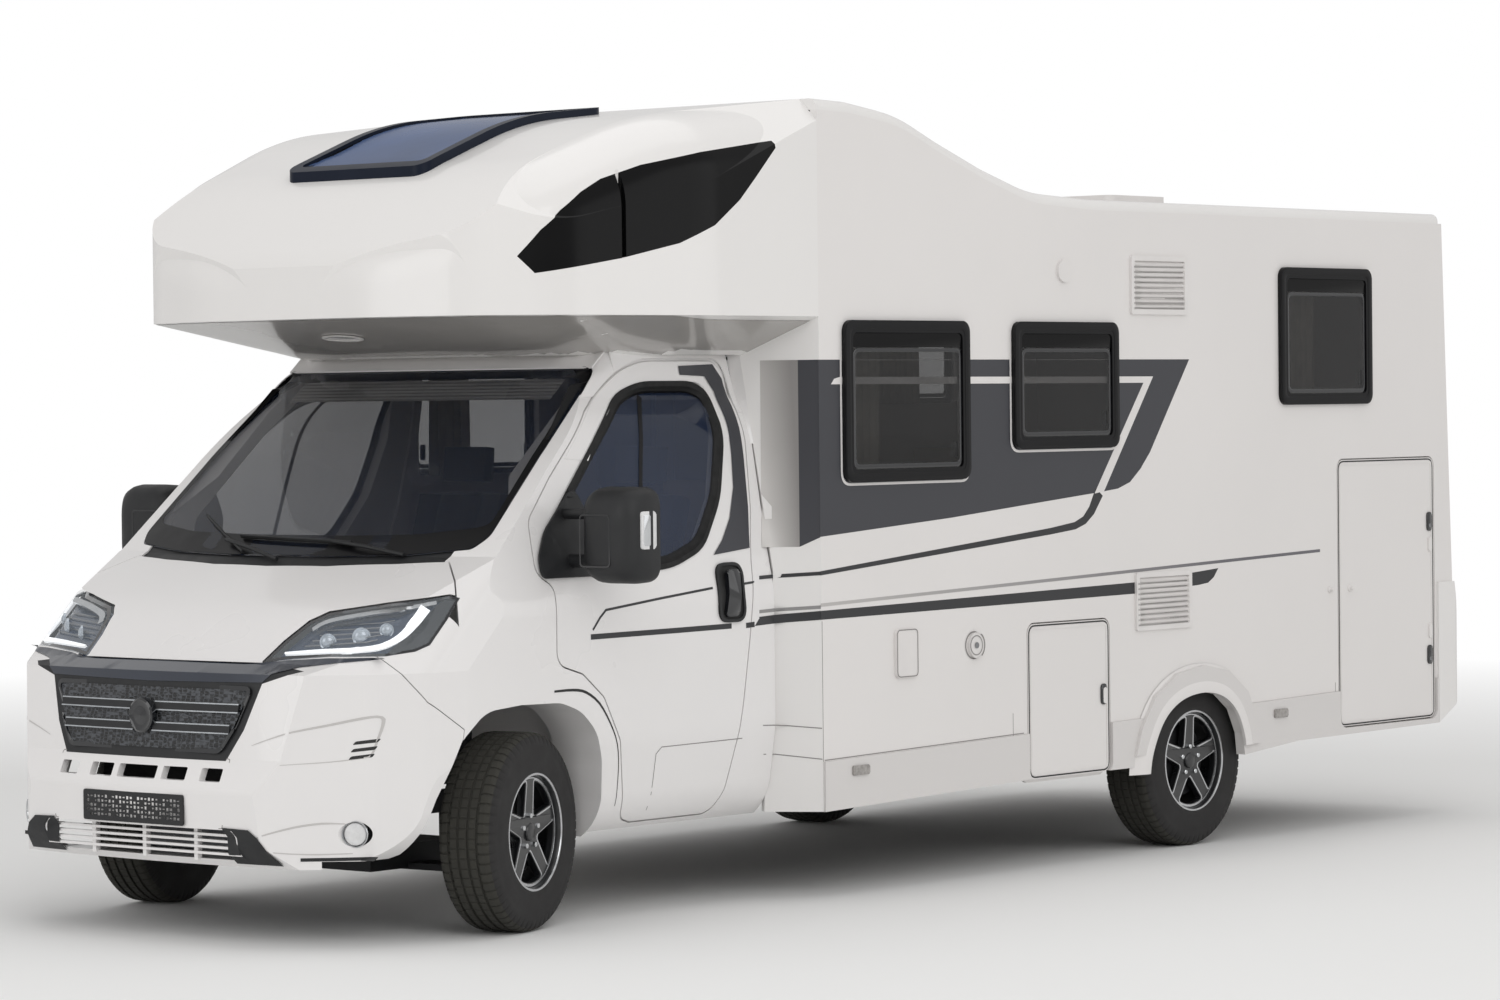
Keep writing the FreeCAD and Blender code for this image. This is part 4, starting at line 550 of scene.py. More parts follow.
def shifted_outline(outline, distance):
    # each point moved outwards along the outline's own corner direction
    area = sum(outline[i - 1][0] * outline[i][1] - outline[i][0] * outline[i - 1][1]
               for i in range(len(outline)))
    sign = 1 if area > 0 else -1
    out = []
    for i in range(len(outline)):
        here = Vector(outline[i])
        before = (here - Vector(outline[i - 1])).normalized()
        after = (Vector(outline[(i + 1) % len(outline)]) - here).normalized()
        normal = Vector((before.y + after.y, -before.x - after.x)) * sign
        if normal.length < 1e-6:
            normal = Vector((before.y, -before.x)) * sign
        normal.normalize()
        lean = max(0.35, abs(normal.dot(Vector((before.y, -before.x)))))
        out.append(tuple(here + normal * distance / lean))
    return out


def cut_grid(bm, step):
    for k, normal in enumerate((Vector((1, 0, 0)), Vector((0, 1, 0)))):
        values = [v.co[k] for v in bm.verts]
        place = math.ceil(min(values) / step) * step
        while place < max(values):
            geometry = list(bm.verts) + list(bm.edges) + list(bm.faces)
            bmesh.ops.bisect_plane(bm, geom=geometry, dist=1e-6, plane_co=normal * place, plane_no=normal)
            place += step


def laid(bm, axis, targets, lift, thick=0.0):
    # drops a flat mesh against a view's direction onto CAD nodes or earlier pieces
    tree = tree_of(targets)
    out = VIEWS[axis][0]
    depth, missing = {}, []
    for vert in bm.verts:
        hit, normal, index, distance = tree.ray_cast(lifted(axis, vert.co.x, vert.co.y, FAR), -out)
        if hit is None:
            missing.append(vert)
            continue
        depth[vert] = ((hit + SHIFT).dot(out), normal if normal.dot(out) > 0 else -normal)
    for turn in range(12):
        for vert in list(missing):
            near = [depth[e.other_vert(vert)] for e in vert.link_edges if e.other_vert(vert) in depth]
            if near:
                depth[vert] = (sum(d for d, n in near) / len(near), near[0][1])
                missing.remove(vert)
    for vert in bm.verts:
        place, normal = depth.get(vert, (0.0, out))
        vert.co = lifted(axis, vert.co.x, vert.co.y, place) + normal * lift
    bm.normal_update()
    for face in bm.faces:
        if face.normal.dot(out) < 0:
            face.normal_flip()
    if thick:
        bmesh.ops.solidify(bm, geom=list(bm.faces), thickness=thick)


def decal(name, outline, axis, targets, material, body, lift=0.0007, step=0.05, thick=0.0):
    bm = bmesh.new()
    bm.faces.new([bm.verts.new((u, v, 0)) for u, v in outline])
    bmesh.ops.triangulate(bm, faces=bm.faces)
    cut_grid(bm, step)
    bmesh.ops.triangulate(bm, faces=bm.faces)
    laid(bm, axis, targets, lift, thick)
    return finished(name, mesh_from(bm, name), material, body)


def ring_decal(name, outer, inner, axis, targets, material, body, lift=0.0007, rows=2, thick=0.0):
    bm = bmesh.new()
    loops = [[bm.verts.new((*between(a, b, k / rows), 0)) for a, b in zip(outer, inner)]
             for k in range(rows + 1)]
    join_rings(bm, loops)
    laid(bm, axis, targets, lift, thick)
    return finished(name, mesh_from(bm, name), material, body)


def curve_mesh(name, curve):
    holder = linked(name, curve)
    bpy.context.view_layer.update()
    mesh = bpy.data.meshes.new_from_object(holder.evaluated_get(bpy.context.evaluated_depsgraph_get()))
    bpy.data.objects.remove(holder)
    mesh.name = name
    return mesh


def plate_shape(name, loops, thick, bevel=0.0):
    # a flat shape with holes as a mesh in the local YZ plane, its front at x = thick
    curve = bpy.data.curves.new(name, "CURVE")
    curve.dimensions = "2D"
    curve.fill_mode = "BOTH"
    curve.extrude = max(thick / 2 - bevel, 1e-5)
    curve.bevel_depth = bevel
    curve.bevel_resolution = 1
    for loop in loops:
        spline = curve.splines.new("POLY")
        spline.points.add(len(loop) - 1)
        for point, (u, v) in zip(spline.points, loop):
            point.co = (u, v, 0, 1)
        spline.use_cyclic_u = True
    mesh = curve_mesh(name, curve)
    mesh.transform(Matrix(((0, 0, 1, thick / 2), (1, 0, 0, 0), (0, 1, 0, 0), (0, 0, 0, 1))))
    return mesh


def revolved(bm, profile, count, closed=False):
    # a ring about the local X axis from points (x, radius)
    rings = []
    for k in range(count):
        angle = 2 * math.pi * k / count
        rings.append([bm.verts.new((x, r * math.sin(angle), r * math.cos(angle))) for x, r in profile])
    size = len(profile)
    for k in range(count):
        a, b = rings[k], rings[(k + 1) % count]
        for i in range(size if closed else size - 1):
            j = (i + 1) % size
            bm.faces.new((a[i], b[i], b[j], a[j]))
    return rings


def tube(name, points, radius, material, body):
    # a round bar along points of the axle frame
    curve = bpy.data.curves.new(name, "CURVE")
    curve.dimensions = "3D"
    curve.bevel_depth = radius
    curve.bevel_resolution = 4
    curve.use_fill_caps = True
    spline = curve.splines.new("POLY")
    spline.points.add(len(points) - 1)
    for point, place in zip(spline.points, points):
        point.co = (place[0], place[1] - MID, place[2], 1)
    return finished(name, curve_mesh(name, curve), material, body)


def mirror_mesh(mesh):
    for vert in mesh.vertices:
        vert.co.x = -vert.co.x
    mesh.flip_normals()


def mirrored(side, *made):
    # takes pieces that were built on the left to the right side
    if side < 0:
        for obj in made:
            mirror_mesh(obj.data)


def twin(obj):
    # the same piece on the other side of the vehicle
    name = obj.name.replace("_left", "_right")
    mesh = obj.data.copy()
    mesh.name = name
    mirror_mesh(mesh)
    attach(linked(name, mesh), "vehicle")


def pair(build, name, *arguments, **options):
    # builds a piece on the left and its twin on the right
    twin(build(name + "_left", *arguments, "vehicle", **options))


def cast(axis, u, v, targets, lift=0.0):
    # the point of the axle frame where a view's ray meets CAD nodes
    out = VIEWS[axis][0]
    hit, normal, index, distance = tree_of(targets).ray_cast(lifted(axis, u, v, FAR), -out)
    if hit is None:
        return None
    return hit + SHIFT + (normal if normal.dot(out) > 0 else -normal) * lift


SIDES = (("left", 1), ("right", -1))


# wheels: one tyre and one rim, set at the four places

TREAD_STEPS = (0.0, 0.06, 0.18, 0.24, 0.52, 0.57, 0.66, 0.71)
GROOVES = (-0.056, -0.0195, 0.0195, 0.056)


def tyre_profile():
    side = [(0.099, 0.2040), (0.1075, 0.2075), (0.1090, 0.2170), (0.1112, 0.2230), (0.1108, 0.2290),
            (0.1121, 0.2480), (0.1124, 0.2700), (0.1118, 0.2930), (0.1100, 0.3060), (0.1106, 0.3100),
            (0.1083, 0.3220), (0.1045, 0.3360), (0.0985, 0.3475), (0.0900, 0.3545), (0.0820, 0.3578)]
    tread = []
    for place in GROOVES:
        for shift, depth in ((-0.0062, 0.0), (-0.0046, 0.0080), (0.0046, 0.0080), (0.0062, 0.0)):
            tread.append((place + shift, AXLE_Z - depth))
    return [(-x, r) for x, r in side] + tread + side[::-1]


def tyre_mesh():
    bm = bmesh.new()
    profile = tyre_profile()
    lugs = 62
    rings = []
    for lug in range(lugs):
        for share in TREAD_STEPS:
            angle = 2 * math.pi * (lug + share) / lugs
            ring = []
            for x, r in profile:
                cut = 0.0
                if 0.083 <= abs(x) <= 0.1050 and r > 0.335 and 0.05 < share < 0.20:
                    cut = 0.0060
                elif 0.060 < abs(x) < 0.083 and 0.05 < share < 0.20 and r > 0.35:
                    cut = 0.0045
                elif abs(x) < 0.05 and r > 0.358 and 0.55 < share < 0.67:
                    cut = 0.0030
                radius = r - cut
                ring.append(bm.verts.new((x, radius * math.sin(angle), radius * math.cos(angle))))
            rings.append(ring)
    bands = [[] for i in range(len(profile) - 1)]
    for k in range(len(rings)):
        a, b = rings[k], rings[(k + 1) % len(rings)]
        for i in range(len(profile) - 1):
            bands[i].append(bm.faces.new((a[i], b[i], b[i + 1], a[i + 1])))
    for i, faces in enumerate(bands):
        on_tread = min(profile[i][1], profile[i + 1][1]) > 0.34
        for face in faces:
            face.material_index = 1 if on_tread else 0
            face.smooth = not on_tread
    bmesh.ops.recalc_face_normals(bm, faces=bm.faces)
    mesh = mesh_from(bm, "tyre_form")
    mesh.materials.append(M["tyre"])
    mesh.materials.append(M["tread"])
    return mesh


SPOKES = 5
RIM_FACE, RIM_DEEP = 0.0885, 0.030
SPOKE_ROOT, SPOKE_TIP = 0.036, 0.030
WINDOW_IN, WINDOW_OUT = 0.072, 0.187


def spoke_half(reach):
    return SPOKE_ROOT + (SPOKE_TIP - SPOKE_ROOT) * (reach - WINDOW_IN) / (WINDOW_OUT - WINDOW_IN)


def rim_window(index):
    # the opening between two spokes, in turns about the axle; angles count from straight up
    pitch = 2 * math.pi / SPOKES
    points = []
    for angle, sign in ((index * pitch, 1), ((index + 1) * pitch, -1)):
        edge = []
        for reach in (WINDOW_IN, WINDOW_OUT):
            across = sign * spoke_half(reach)
            along = math.sqrt(reach ** 2 - across ** 2)
            edge.append((across * math.cos(angle) + along * math.sin(angle),
                         -across * math.sin(angle) + along * math.cos(angle)))
        points.append(edge)
    (a_in, a_out), (b_in, b_out) = points
    start, end = math.atan2(*a_out), math.atan2(*b_out)
    if end < start:
        end += 2 * math.pi
    arc = [(WINDOW_OUT * math.sin(t), WINDOW_OUT * math.cos(t))
           for t in (start + (end - start) * k / 6 for k in range(1, 6))]
    return rounded([a_in, a_out] + arc + [b_out, b_in], [0.014, 0.016] + [0.0] * 5 + [0.016, 0.014], 5)


def rim_meshes():
    windows = [rim_window(i) for i in range(SPOKES)]
    rim_circle = [(0.199 * math.sin(t),
                   0.199 * math.cos(t)) for t in (2 * math.pi * k / 96 for k in range(96))]
    face = plate_shape("rim_face", [rim_circle] + windows, RIM_DEEP, 0.003)
    bm = bmesh.new()
    bm.from_mesh(face)
    for vert in bm.verts:
        # the spokes dish in a little towards the hub
        reach = math.hypot(vert.co.y, vert.co.z)
        vert.co.x += RIM_FACE - RIM_DEEP - 0.010 * math.cos(min(1.0, reach / 0.2) * math.pi / 2) ** 2
    barrel = [(-0.1085, 0.2125), (-0.1100, 0.2080), (-0.1020, 0.2010), (-0.080, 0.1990), (0.080, 0.1990),
              (0.1000, 0.2010), (0.1075, 0.2050), (0.1085, 0.2125), (0.1040, 0.2125), (0.1010, 0.2075),
              (0.0880, 0.2040), (-0.0880, 0.2040), (-0.1010, 0.2075), (-0.1040, 0.2125)]
    revolved(bm, barrel, 96, True)
    cap = [(RIM_FACE - 0.016, 0.0340), (RIM_FACE - 0.001, 0.0335), (RIM_FACE + 0.003, 0.0310),
           (RIM_FACE + 0.0055, 0.0230), (RIM_FACE + 0.0065, 0.0100), (RIM_FACE + 0.0068, 0.0004)]
    revolved(bm, cap, 40)
    bmesh.ops.recalc_face_normals(bm, faces=bm.faces)
    dark = mesh_from(bm, "rim_dark")
    bm = bmesh.new()
    for window in windows:
        outer = shifted_outline(window, 0.0072)
        inner = shifted_outline(window, 0.0012)
        loops = []
        for ring, proud in ((outer, -0.001), (outer, 0.0006), (inner, 0.0006), (inner, -0.001)):
            loop = []
            for u, v in ring:
                dish = 0.010 * math.cos(min(1.0, math.hypot(u, v) / 0.2) * math.pi / 2) ** 2
                loop.append(bm.verts.new((RIM_FACE - dish + proud, u, v)))
            loops.append(loop)
        count = len(outer)
        for k in range(3):
            for i in range(count):
                j = (i + 1) % count
                bm.faces.new((loops[k][i], loops[k][j], loops[k + 1][j], loops[k + 1][i]))
    lip = [(0.1072, 0.2046), (0.1100, 0.2060), (0.1106, 0.2100), (0.1098, 0.2132), (0.1072, 0.2138)]
    revolved(bm, lip, 96)
    edge = [(RIM_FACE - 0.0012, 0.1915), (RIM_FACE + 0.0010, 0.1925), (RIM_FACE + 0.0012, 0.1965),
            (RIM_FACE - 0.0012, 0.1975)]
    revolved(bm, edge, 96)
    bmesh.ops.recalc_face_normals(bm, faces=bm.faces)
    bright = mesh_from(bm, "rim_bright")
    bm = bmesh.new()
    for i in range(SPOKES):
        angle = 2 * math.pi * i / SPOKES
        y, z = 0.059 * math.sin(angle), 0.059 * math.cos(angle)
        for count, radius, low, high in ((24, 0.0150, -0.018, -0.0085), (6, 0.0105, -0.0085, 0.0050)):
            ring_low = [bm.verts.new((RIM_FACE + low, y + radius * math.cos(t), z + radius * math.sin(t)))
                        for t in (2 * math.pi * k / count for k in range(count))]
            ring_high = [bm.verts.new((RIM_FACE + high - 0.0015, v.co.y, v.co.z)) for v in ring_low]
            ring_top = [bm.verts.new((RIM_FACE + high, y + (v.co.y - y) * 0.86, z + (v.co.z - z) * 0.86))
                        for v in ring_low]
            for k in range(count):
                j = (k + 1) % count
                bm.faces.new((ring_low[k], ring_low[j], ring_high[j], ring_high[k]))
                bm.faces.new((ring_high[k], ring_high[j], ring_top[j], ring_top[k]))
            bm.faces.new(ring_top)
    bmesh.ops.recalc_face_normals(bm, faces=bm.faces)
    bolts = mesh_from(bm, "wheel_bolts")
    for mesh, material in ((dark, "rim_black"), (bright, "machined"), (bolts, "chrome")):
        painted(mesh, material)
        for face in mesh.polygons:
            face.use_smooth = True
        mesh.set_sharp_from_angle(angle=math.radians(30))
    return dark, bright, bolts


def wheels():
    tyre = tyre_mesh()
    dark, bright, bolts = rim_meshes()
    places = {}
    for end, side in SIDES:
        turn = 0.0 if side > 0 else math.pi
        places["rear_" + end] = Matrix.Translation((side * 0.990, WHEELBASE - MID,
                                                    AXLE_Z)) @ Matrix.Rotation(turn, 4, "Z")
        steer = math.radians(16)
        pivot = Matrix.Translation((side * 0.860, -MID, AXLE_Z)) @ Matrix.Rotation(steer, 4, "Z")
        places["front_" + end] = pivot @ Matrix.Translation((side * 0.045, 0, 0)) @ Matrix.Rotation(turn, 4,
                                                                                                    "Z")
    for key, matrix in places.items():
        for mesh, part, slot in ((tyre, "tyre", "tyre_rubber"), (dark, "rim", "wheel_alloy"),
                                 (bright, "rim_lines", "wheel_alloy"), (bolts, "bolts", "frame_steel")):
            obj = bpy.data.objects.new("%s_%s_form" % (part, key), mesh)
            bpy.context.scene.collection.objects.link(obj)
            obj.matrix_world = matrix
            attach(obj, "wheel_" + key)
            if part in ("tyre", "rim"):
                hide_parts("%s_%s" % (part, key))


# side decor, flat on the walls

def flat_form(name, loops, material, body, side, proud):
    mesh = plate_shape(name, loops, proud * 2)
    place = BODY_HALF - proud
    mesh.transform(Matrix.Translation((place, -MID, 0)))
    if side < 0:
        mirror_mesh(mesh)
    return finished(name, mesh, material, body)


LOUNGE = (1.628, 2.410, 1.586, 2.209)
KITCHEN = (2.702, 3.413, 1.697, 2.209)
WASHROOM = (3.560, 4.271, 1.697, 2.209)
BED = (4.606, 5.322, 1.860, 2.454)
ENTRY = (2.620, 3.270, 0.440, 2.260)
WALL_FRONT = 1.486
DECOR_FRONT, PANEL_TOP = 1.146, 2.057
PANEL_END = [(3.937, PANEL_TOP), (3.649, 1.672), (3.580, 1.604), (3.505, 1.550), (3.420, 1.525),
             (3.294, 1.513), (2.900, 1.482), (2.300, 1.434), (1.485, 1.382), (DECOR_FRONT, 1.350)]
WHITE_BAND = [(1.560, 1.963), (1.580, 1.984), (1.616, 1.991), (3.675, 1.986), (3.322, 1.516), (3.256, 1.508),
              (3.606, 1.960)]
DARK_LINE = [(3.289, 1.5145), (3.235, 1.440), (3.185, 1.401), (3.120, 1.380), (2.950, 1.362), (1.483, 1.243),
             (DECOR_FRONT, 1.233)]
DARK_WIDTHS = [0.058, 0.044, 0.034, 0.030, 0.026, 0.016, 0.014]
GREY_LINE = [(DECOR_FRONT, 1.112), (3.0, 1.166), (4.917, 1.222)]
THICK_BAND = [(DECOR_FRONT, 1.086), (1.480, 1.100), (3.530, 1.134), (4.000, 1.163), (4.138, 1.172),
              (4.104, 1.135), (4.062, 1.113), (3.990, 1.106), (3.530, 1.087), (1.480, 1.066),
              (DECOR_FRONT, 1.062)]


def clipped(outline, low, high):
    # the part of an outline between two places along the vehicle
    for place, sign in ((low, 1), (high, -1)):
        kept = []
        for i, here in enumerate(outline):
            last = outline[i - 1]
            inside, was = (here[0] - place) * sign >= 0, (last[0] - place) * sign >= 0
            if inside != was:
                t = (place - last[0]) / (here[0] - last[0])
                kept.append((place, last[1] + (here[1] - last[1]) * t))
            if inside:
                kept.append(here)
        outline = kept
    return outline


def panel_outline(windows):
    # the grey panel leaves out the windows, whose frames cover its edges
    edge = [(DECOR_FRONT, PANEL_TOP)]
    for front, rear, low, high in windows:
        edge += [(front + 0.012, PANEL_TOP), (front + 0.012, low + 0.012), (rear - 0.012, low + 0.012),
                 (rear - 0.012, PANEL_TOP)]
    return edge + PANEL_END


def slope(y):
    # a place along the fairing's slope as the first number of the corner view
    return 0.7846 * (1.160 - (1.490 - y) * 1.50) + 0.62 * y


def fairing_decor(end, side):
    edge, split, start = slope(1.4885), slope(1.445), slope(1.364)
    root = start - 0.055
    made = []
    for name, outline, material, lift in (
            # painted shading on the fairing's slope, from light to grey
            ("fairing_silver", [(start, 1.345), (split, 1.345), (split, PANEL_TOP), (start, PANEL_TOP)],
             "decor_silver", 0.0008),
            ("fairing_dark", [(split, 1.345), (edge, 1.380), (edge, PANEL_TOP), (split, PANEL_TOP)],
             "decor_grey", 0.0008),
            ("fairing_line", [(root, 1.222), (edge, 1.236), (edge, 1.250), (root, 1.236)], "decor_dark",
             0.0010),
            ("fairing_hair", [(root, 1.094), (edge, 1.108), (edge, 1.121), (root, 1.107)], "decor_pale",
             0.0008),
            ("fairing_band", [(root, 1.048), (edge, 1.066), (edge, 1.100), (root, 1.080)], "decor_dark",
             0.0010),
            ("fairing_step_a", [(start, 0.672), (edge, 0.654), (edge, 0.650), (start, 0.668)], "seam",
             0.0006),
            ("fairing_step_b", [(start, 0.560), (edge, 0.536), (edge, 0.532), (start, 0.556)], "seam",
             0.0006)):
        made.append(decal("%s_%s" % (name, end), outline, "corner", ["fairings", "cab_shell"], material,
                          "vehicle", lift=lift,
                          step=0.05))
    mirrored(side, *made)


def side_decor(end, side, windows, doors):
    bands = [("decor_panel", [panel_outline(windows)], "decor_grey", 0.0004),
             ("decor_white", [WHITE_BAND], "trim_white", 0.0007),
             ("decor_line", [ribbon(DARK_LINE, DARK_WIDTHS)], "decor_dark", 0.0006),
             ("decor_stripe", [ribbon(GREY_LINE, 0.013)], "decor_fade", 0.0004),
             ("decor_band", [THICK_BAND], "decor_dark", 0.0004)]
    for name, loops, material, proud in bands:
        spans = [(WALL_FRONT, 9.0, "vehicle", "")]
        if doors:
            spans = [(WALL_FRONT, ENTRY[0] - 0.006, "vehicle", "_front"),
                     (ENTRY[0] + 0.002, ENTRY[1] - 0.002, doors, "_door"),
                     (ENTRY[1] + 0.006, WASHROOM[0] + 0.012 if name in ("decor_panel",
                                                                        "decor_white") else 9.0,
                      "vehicle", "_rear")]
        for low, high, body, tail in spans:
            parts = [clipped(loop, low, high) for loop in loops]
            if all(len(part) > 2 for part in parts):
                flat_form("%s_%s%s" % (name, end, tail), parts, material, body, side, proud)
    fairing_decor(end, side)
    for index, size in enumerate(windows):
        outer = box_outline(size[0] - 0.013, size[1] + 0.013, size[2] - 0.013, size[3], 0.056)
        inner = box_outline(size[0] - 0.003, size[1] + 0.003, size[2] - 0.003, size[3] - 0.010, 0.048)
        outer = [(u, min(v, PANEL_TOP)) for u, v in outer]
        inner = [(u, min(v, PANEL_TOP - 0.002)) for u, v in inner]
        ring = ring_slab("decor_outline_%s_%d" % (end, index), outer, inner, "x", BODY_HALF - 0.0005,
                         BODY_HALF + 0.0012, "trim_white", "vehicle")
        mirrored(side, ring)


# windows

CURTAIN_GAP = 0.055


def window_details(end, side, name, size, curtains):
    front, rear, low, high = size
    made = []
    outer = box_outline(front + 0.004, rear - 0.004, low + 0.004, high - 0.004, 0.042)
    inner = box_outline(front + 0.034, rear - 0.034, low + 0.034, high - 0.034, 0.030)
    made.append(ring_slab("rebate_%s_%s" % (name, end), outer, inner, "x", BODY_HALF + 0.0165,
                          BODY_HALF + 0.0195,
                          "frame_black", "vehicle", soft=0.0012))
    band = box_outline(front + 0.036, rear - 0.036, high - 0.104, high - 0.036, 0.018)
    made.append(slab("blind_box_%s_%s" % (name, end), band, "x", BODY_HALF + 0.0118, BODY_HALF + 0.0135,
                     "night_glass",
                     "vehicle", soft=0.0006))
    outer = box_outline(front + 0.052, rear - 0.052, low + 0.050, high - 0.108, 0.034)
    inner = box_outline(front + 0.066, rear - 0.066, low + 0.068, high - 0.122, 0.026)
    made.append(ring_slab("inner_frame_%s_%s" % (name, end), outer, inner, "x", BODY_HALF + 0.0118,
                          BODY_HALF + 0.0128, "gloss_black", "vehicle", soft=0.0003))
    for place, tag in ((front + 0.075, "a"), (rear - 0.075, "b")):
        latch = box_outline(place - 0.009, place + 0.009, low + 0.085, low + 0.150, 0.006)
        made.append(slab("latch_%s_%s_%s" % (name, tag, end), latch, "x", BODY_HALF - 0.012,
                         BODY_HALF + 0.002,
                         "gloss_black", "vehicle", soft=0.002))
    for start, stop, tag in curtains:
        made.append(curtain("curtain_%s_%s_%s" % (name, tag, end), start, stop, low + 0.02, high - 0.02))
    mirrored(side, *made)


def curtain(name, start, stop, low, high):
    # a gathered curtain: even folds that open a little towards the hem
    bm = bmesh.new()
    columns, rows = 90, 14
    folds = max(5, round((stop - start) / 0.042))
    grid = []
    for j in range(rows + 1):
        t = j / rows
        line = []
        for i in range(columns + 1):
            s = i / columns
            swell = 0.010 + 0.008 * t
            phase = 2 * math.pi * folds * s + 0.5 * math.sin(3.1 * s * math.pi + 1.4 * t)
            depth = BODY_HALF - CURTAIN_GAP + swell * math.sin(phase)
            place = start + (stop - start) * s + 0.004 * math.sin(phase * 2 + t)
            line.append(bm.verts.new((depth, place - MID, high - (high - low) * t)))
        grid.append(line)
    for j in range(rows):
        for i in range(columns):
            bm.faces.new((grid[j][i], grid[j][i + 1], grid[j + 1][i + 1], grid[j + 1][i]))
    bmesh.ops.solidify(bm, geom=list(bm.faces), thickness=0.0012)
    obj = from_bmesh(name, bm, "curtain", "vehicle")
    return obj


# the nose

LAMP = [(467, -775, 998), (487, -691, 1066), (524, -602, 1134), (575, -552, 1165), (791, -467, 1198),
        (961, -338, 1224), (971, -297, 1216), (973, -366, 1141), (972, -453, 1056), (963, -519, 1035),
        (931, -636, 1022), (739, -716, 1021), (572, -750, 1011)]
LAMP_OUTLINE = seen("corner", [(x / 1000, y / 1000, z / 1000) for x, y, z in LAMP])
LIGHT_GUIDE = [(-0.040, 1.030), (0.100, 1.040), (0.240, 1.047), (0.320, 1.058), (0.385, 1.090),
               (0.430, 1.140),
               (0.462, 1.186)]
GUIDE_WIDTHS = [0.006, 0.011, 0.015, 0.018, 0.026, 0.036, 0.040]
UPPER_BAND = [(0.050, 1.112), (0.110, 1.142), (0.260, 1.170), (0.400, 1.188), (0.500, 1.204)]
PROJECTORS = [(0.108, 1.084, 0.024), (0.232, 1.104, 0.026), (0.330, 1.122, 0.020)]
WEDGE = [(0.330, 1.030), (0.434, 1.040), (0.478, 1.060), (0.530, 1.135), (0.566, 1.208), (0.530, 1.214),
         (0.500, 1.196), (0.470, 1.120), (0.410, 1.060)]


def headlamps():
    lamp = ["headlamps"]
    inner = shifted_outline(LAMP_OUTLINE, -0.004)
    pair(decal, "lamp_housing", inner, "corner", lamp, "lamp_deep", lift=-0.030, step=0.03)
    pair(ring_decal, "lamp_border", shifted_outline(LAMP_OUTLINE, -0.0005),
         shifted_outline(LAMP_OUTLINE, -0.009), "corner", lamp, "gloss_black", lift=0.0008)
    guide = ribbon(curved(LIGHT_GUIDE, 5), spaced(GUIDE_WIDTHS, 5))
    pair(decal, "light_guide", guide, "corner", lamp, "light_guide", lift=-0.010, step=0.03, thick=-0.010)
    band = ribbon(curved(UPPER_BAND, 5), 0.013)
    pair(decal, "lamp_band", band, "corner", lamp, "chrome", lift=-0.010, step=0.03, thick=-0.006)
    pair(decal, "lamp_wedge", rounded(WEDGE, 0.01, 3), "corner", lamp, "gloss_black", lift=-0.006, step=0.03)
    for index, (u, v, radius) in enumerate(PROJECTORS):
        centre = cast("corner", u, v, lamp, -0.022)
        out = VIEWS["corner"][0]
        bm = bmesh.new()
        profile = [(-0.004, radius * 1.30), (0.004, radius * 1.25), (0.002, radius * 1.02),
                   (0.006, radius * 0.92),
                   (0.010, radius * 0.66), (0.0125, radius * 0.34), (0.0132, 0.0005)]
        revolved(bm, profile, 32)
        turn = Vector((1, 0, 0)).rotation_difference(out).to_matrix().to_4x4()
        bm.transform(Matrix.Translation(centre - SHIFT) @ turn)
        left = from_bmesh("projector_%d_left" % index, bm, "projector", "vehicle")
        twin(left)
    for k in range(5):
        shift = 0.018 * k
        fin = ribbon([(0.02 + shift * 1.4, 1.070 + shift), (0.30 + shift * 0.8, 1.092 + shift * 0.9)], 0.003)
        pair(decal, "lamp_fin_%d" % k, fin, "corner", lamp, "steel", lift=-0.024, step=0.05)


GRILLE_FIELD = [(0.388, 0.690), (0.448, 0.780), (0.498, 0.905)]


def grille_details():
    # the mesh field, two double bars with bright edges, and the plain boss in front of them
    target = ["grille"]
    body = "bonnet_lid" if "grille" in frame["bodies"].get("bonnet_lid", ()) else "vehicle"
    field = rounded(both_halves(GRILLE_FIELD), 0.02, 4)
    sheet = decal("grille_field", field, "y", target, "grille_mesh", body, lift=0.002, step=0.05)
    for vert in sheet.data.vertices:
        edge = cast("y", max(-0.50, min(0.50, vert.co.x)), 0.925, target)
        foot = cast("y", max(-0.40, min(0.40, vert.co.x)), 0.668, target)
        share = (vert.co.z - 0.668) / (0.925 - 0.668)
        vert.co.y = foot.y + (edge.y - foot.y) * share - MID - 0.004
    ring_decal("grille_rim", shifted_outline(field, 0.012), shifted_outline(field, -0.004), "y", target,
               "gloss_black",
               body, lift=0.006, rows=3, thick=-0.004)
    for k, (height, half) in enumerate(((0.838, 0.462), (0.764, 0.430))):
        for sign, tag in ((1, "left"), (-1, "right")):
            for shift, wide, material, part in ((0.0, 0.030, "plastic", "bar"),
                                                (0.0145, 0.0045, "chrome_dark", "top"),
                                                (-0.0145, 0.0045, "chrome_dark", "low")):
                line = [(sign * (0.050 + (half - 0.050) * t / 4), height + shift) for t in range(5)]
                decal("grille_%s_%d_%s" % (part, k, tag), ribbon(line, wide), "y", ["grille_field"], material,
                      body,
                      lift=0.004 if part == "bar" else 0.0055, step=0.08, thick=-0.004)
    middle = cast("y", 0.0, 0.805, ["grille_field"], 0.0)
    bm = bmesh.new()
    revolved(bm, [(-0.004, 0.064), (0.014, 0.062), (0.018, 0.055), (0.015, 0.048), (0.016, 0.030),
                  (0.018, 0.0004)], 56)
    bm.transform(Matrix.Translation((0, middle.y - MID - 0.010, 0.803)) @ Matrix.Rotation(-math.pi / 2, 4,
                                                                                          "Z"))
    from_bmesh("grille_boss", bm, "gloss_black", body)


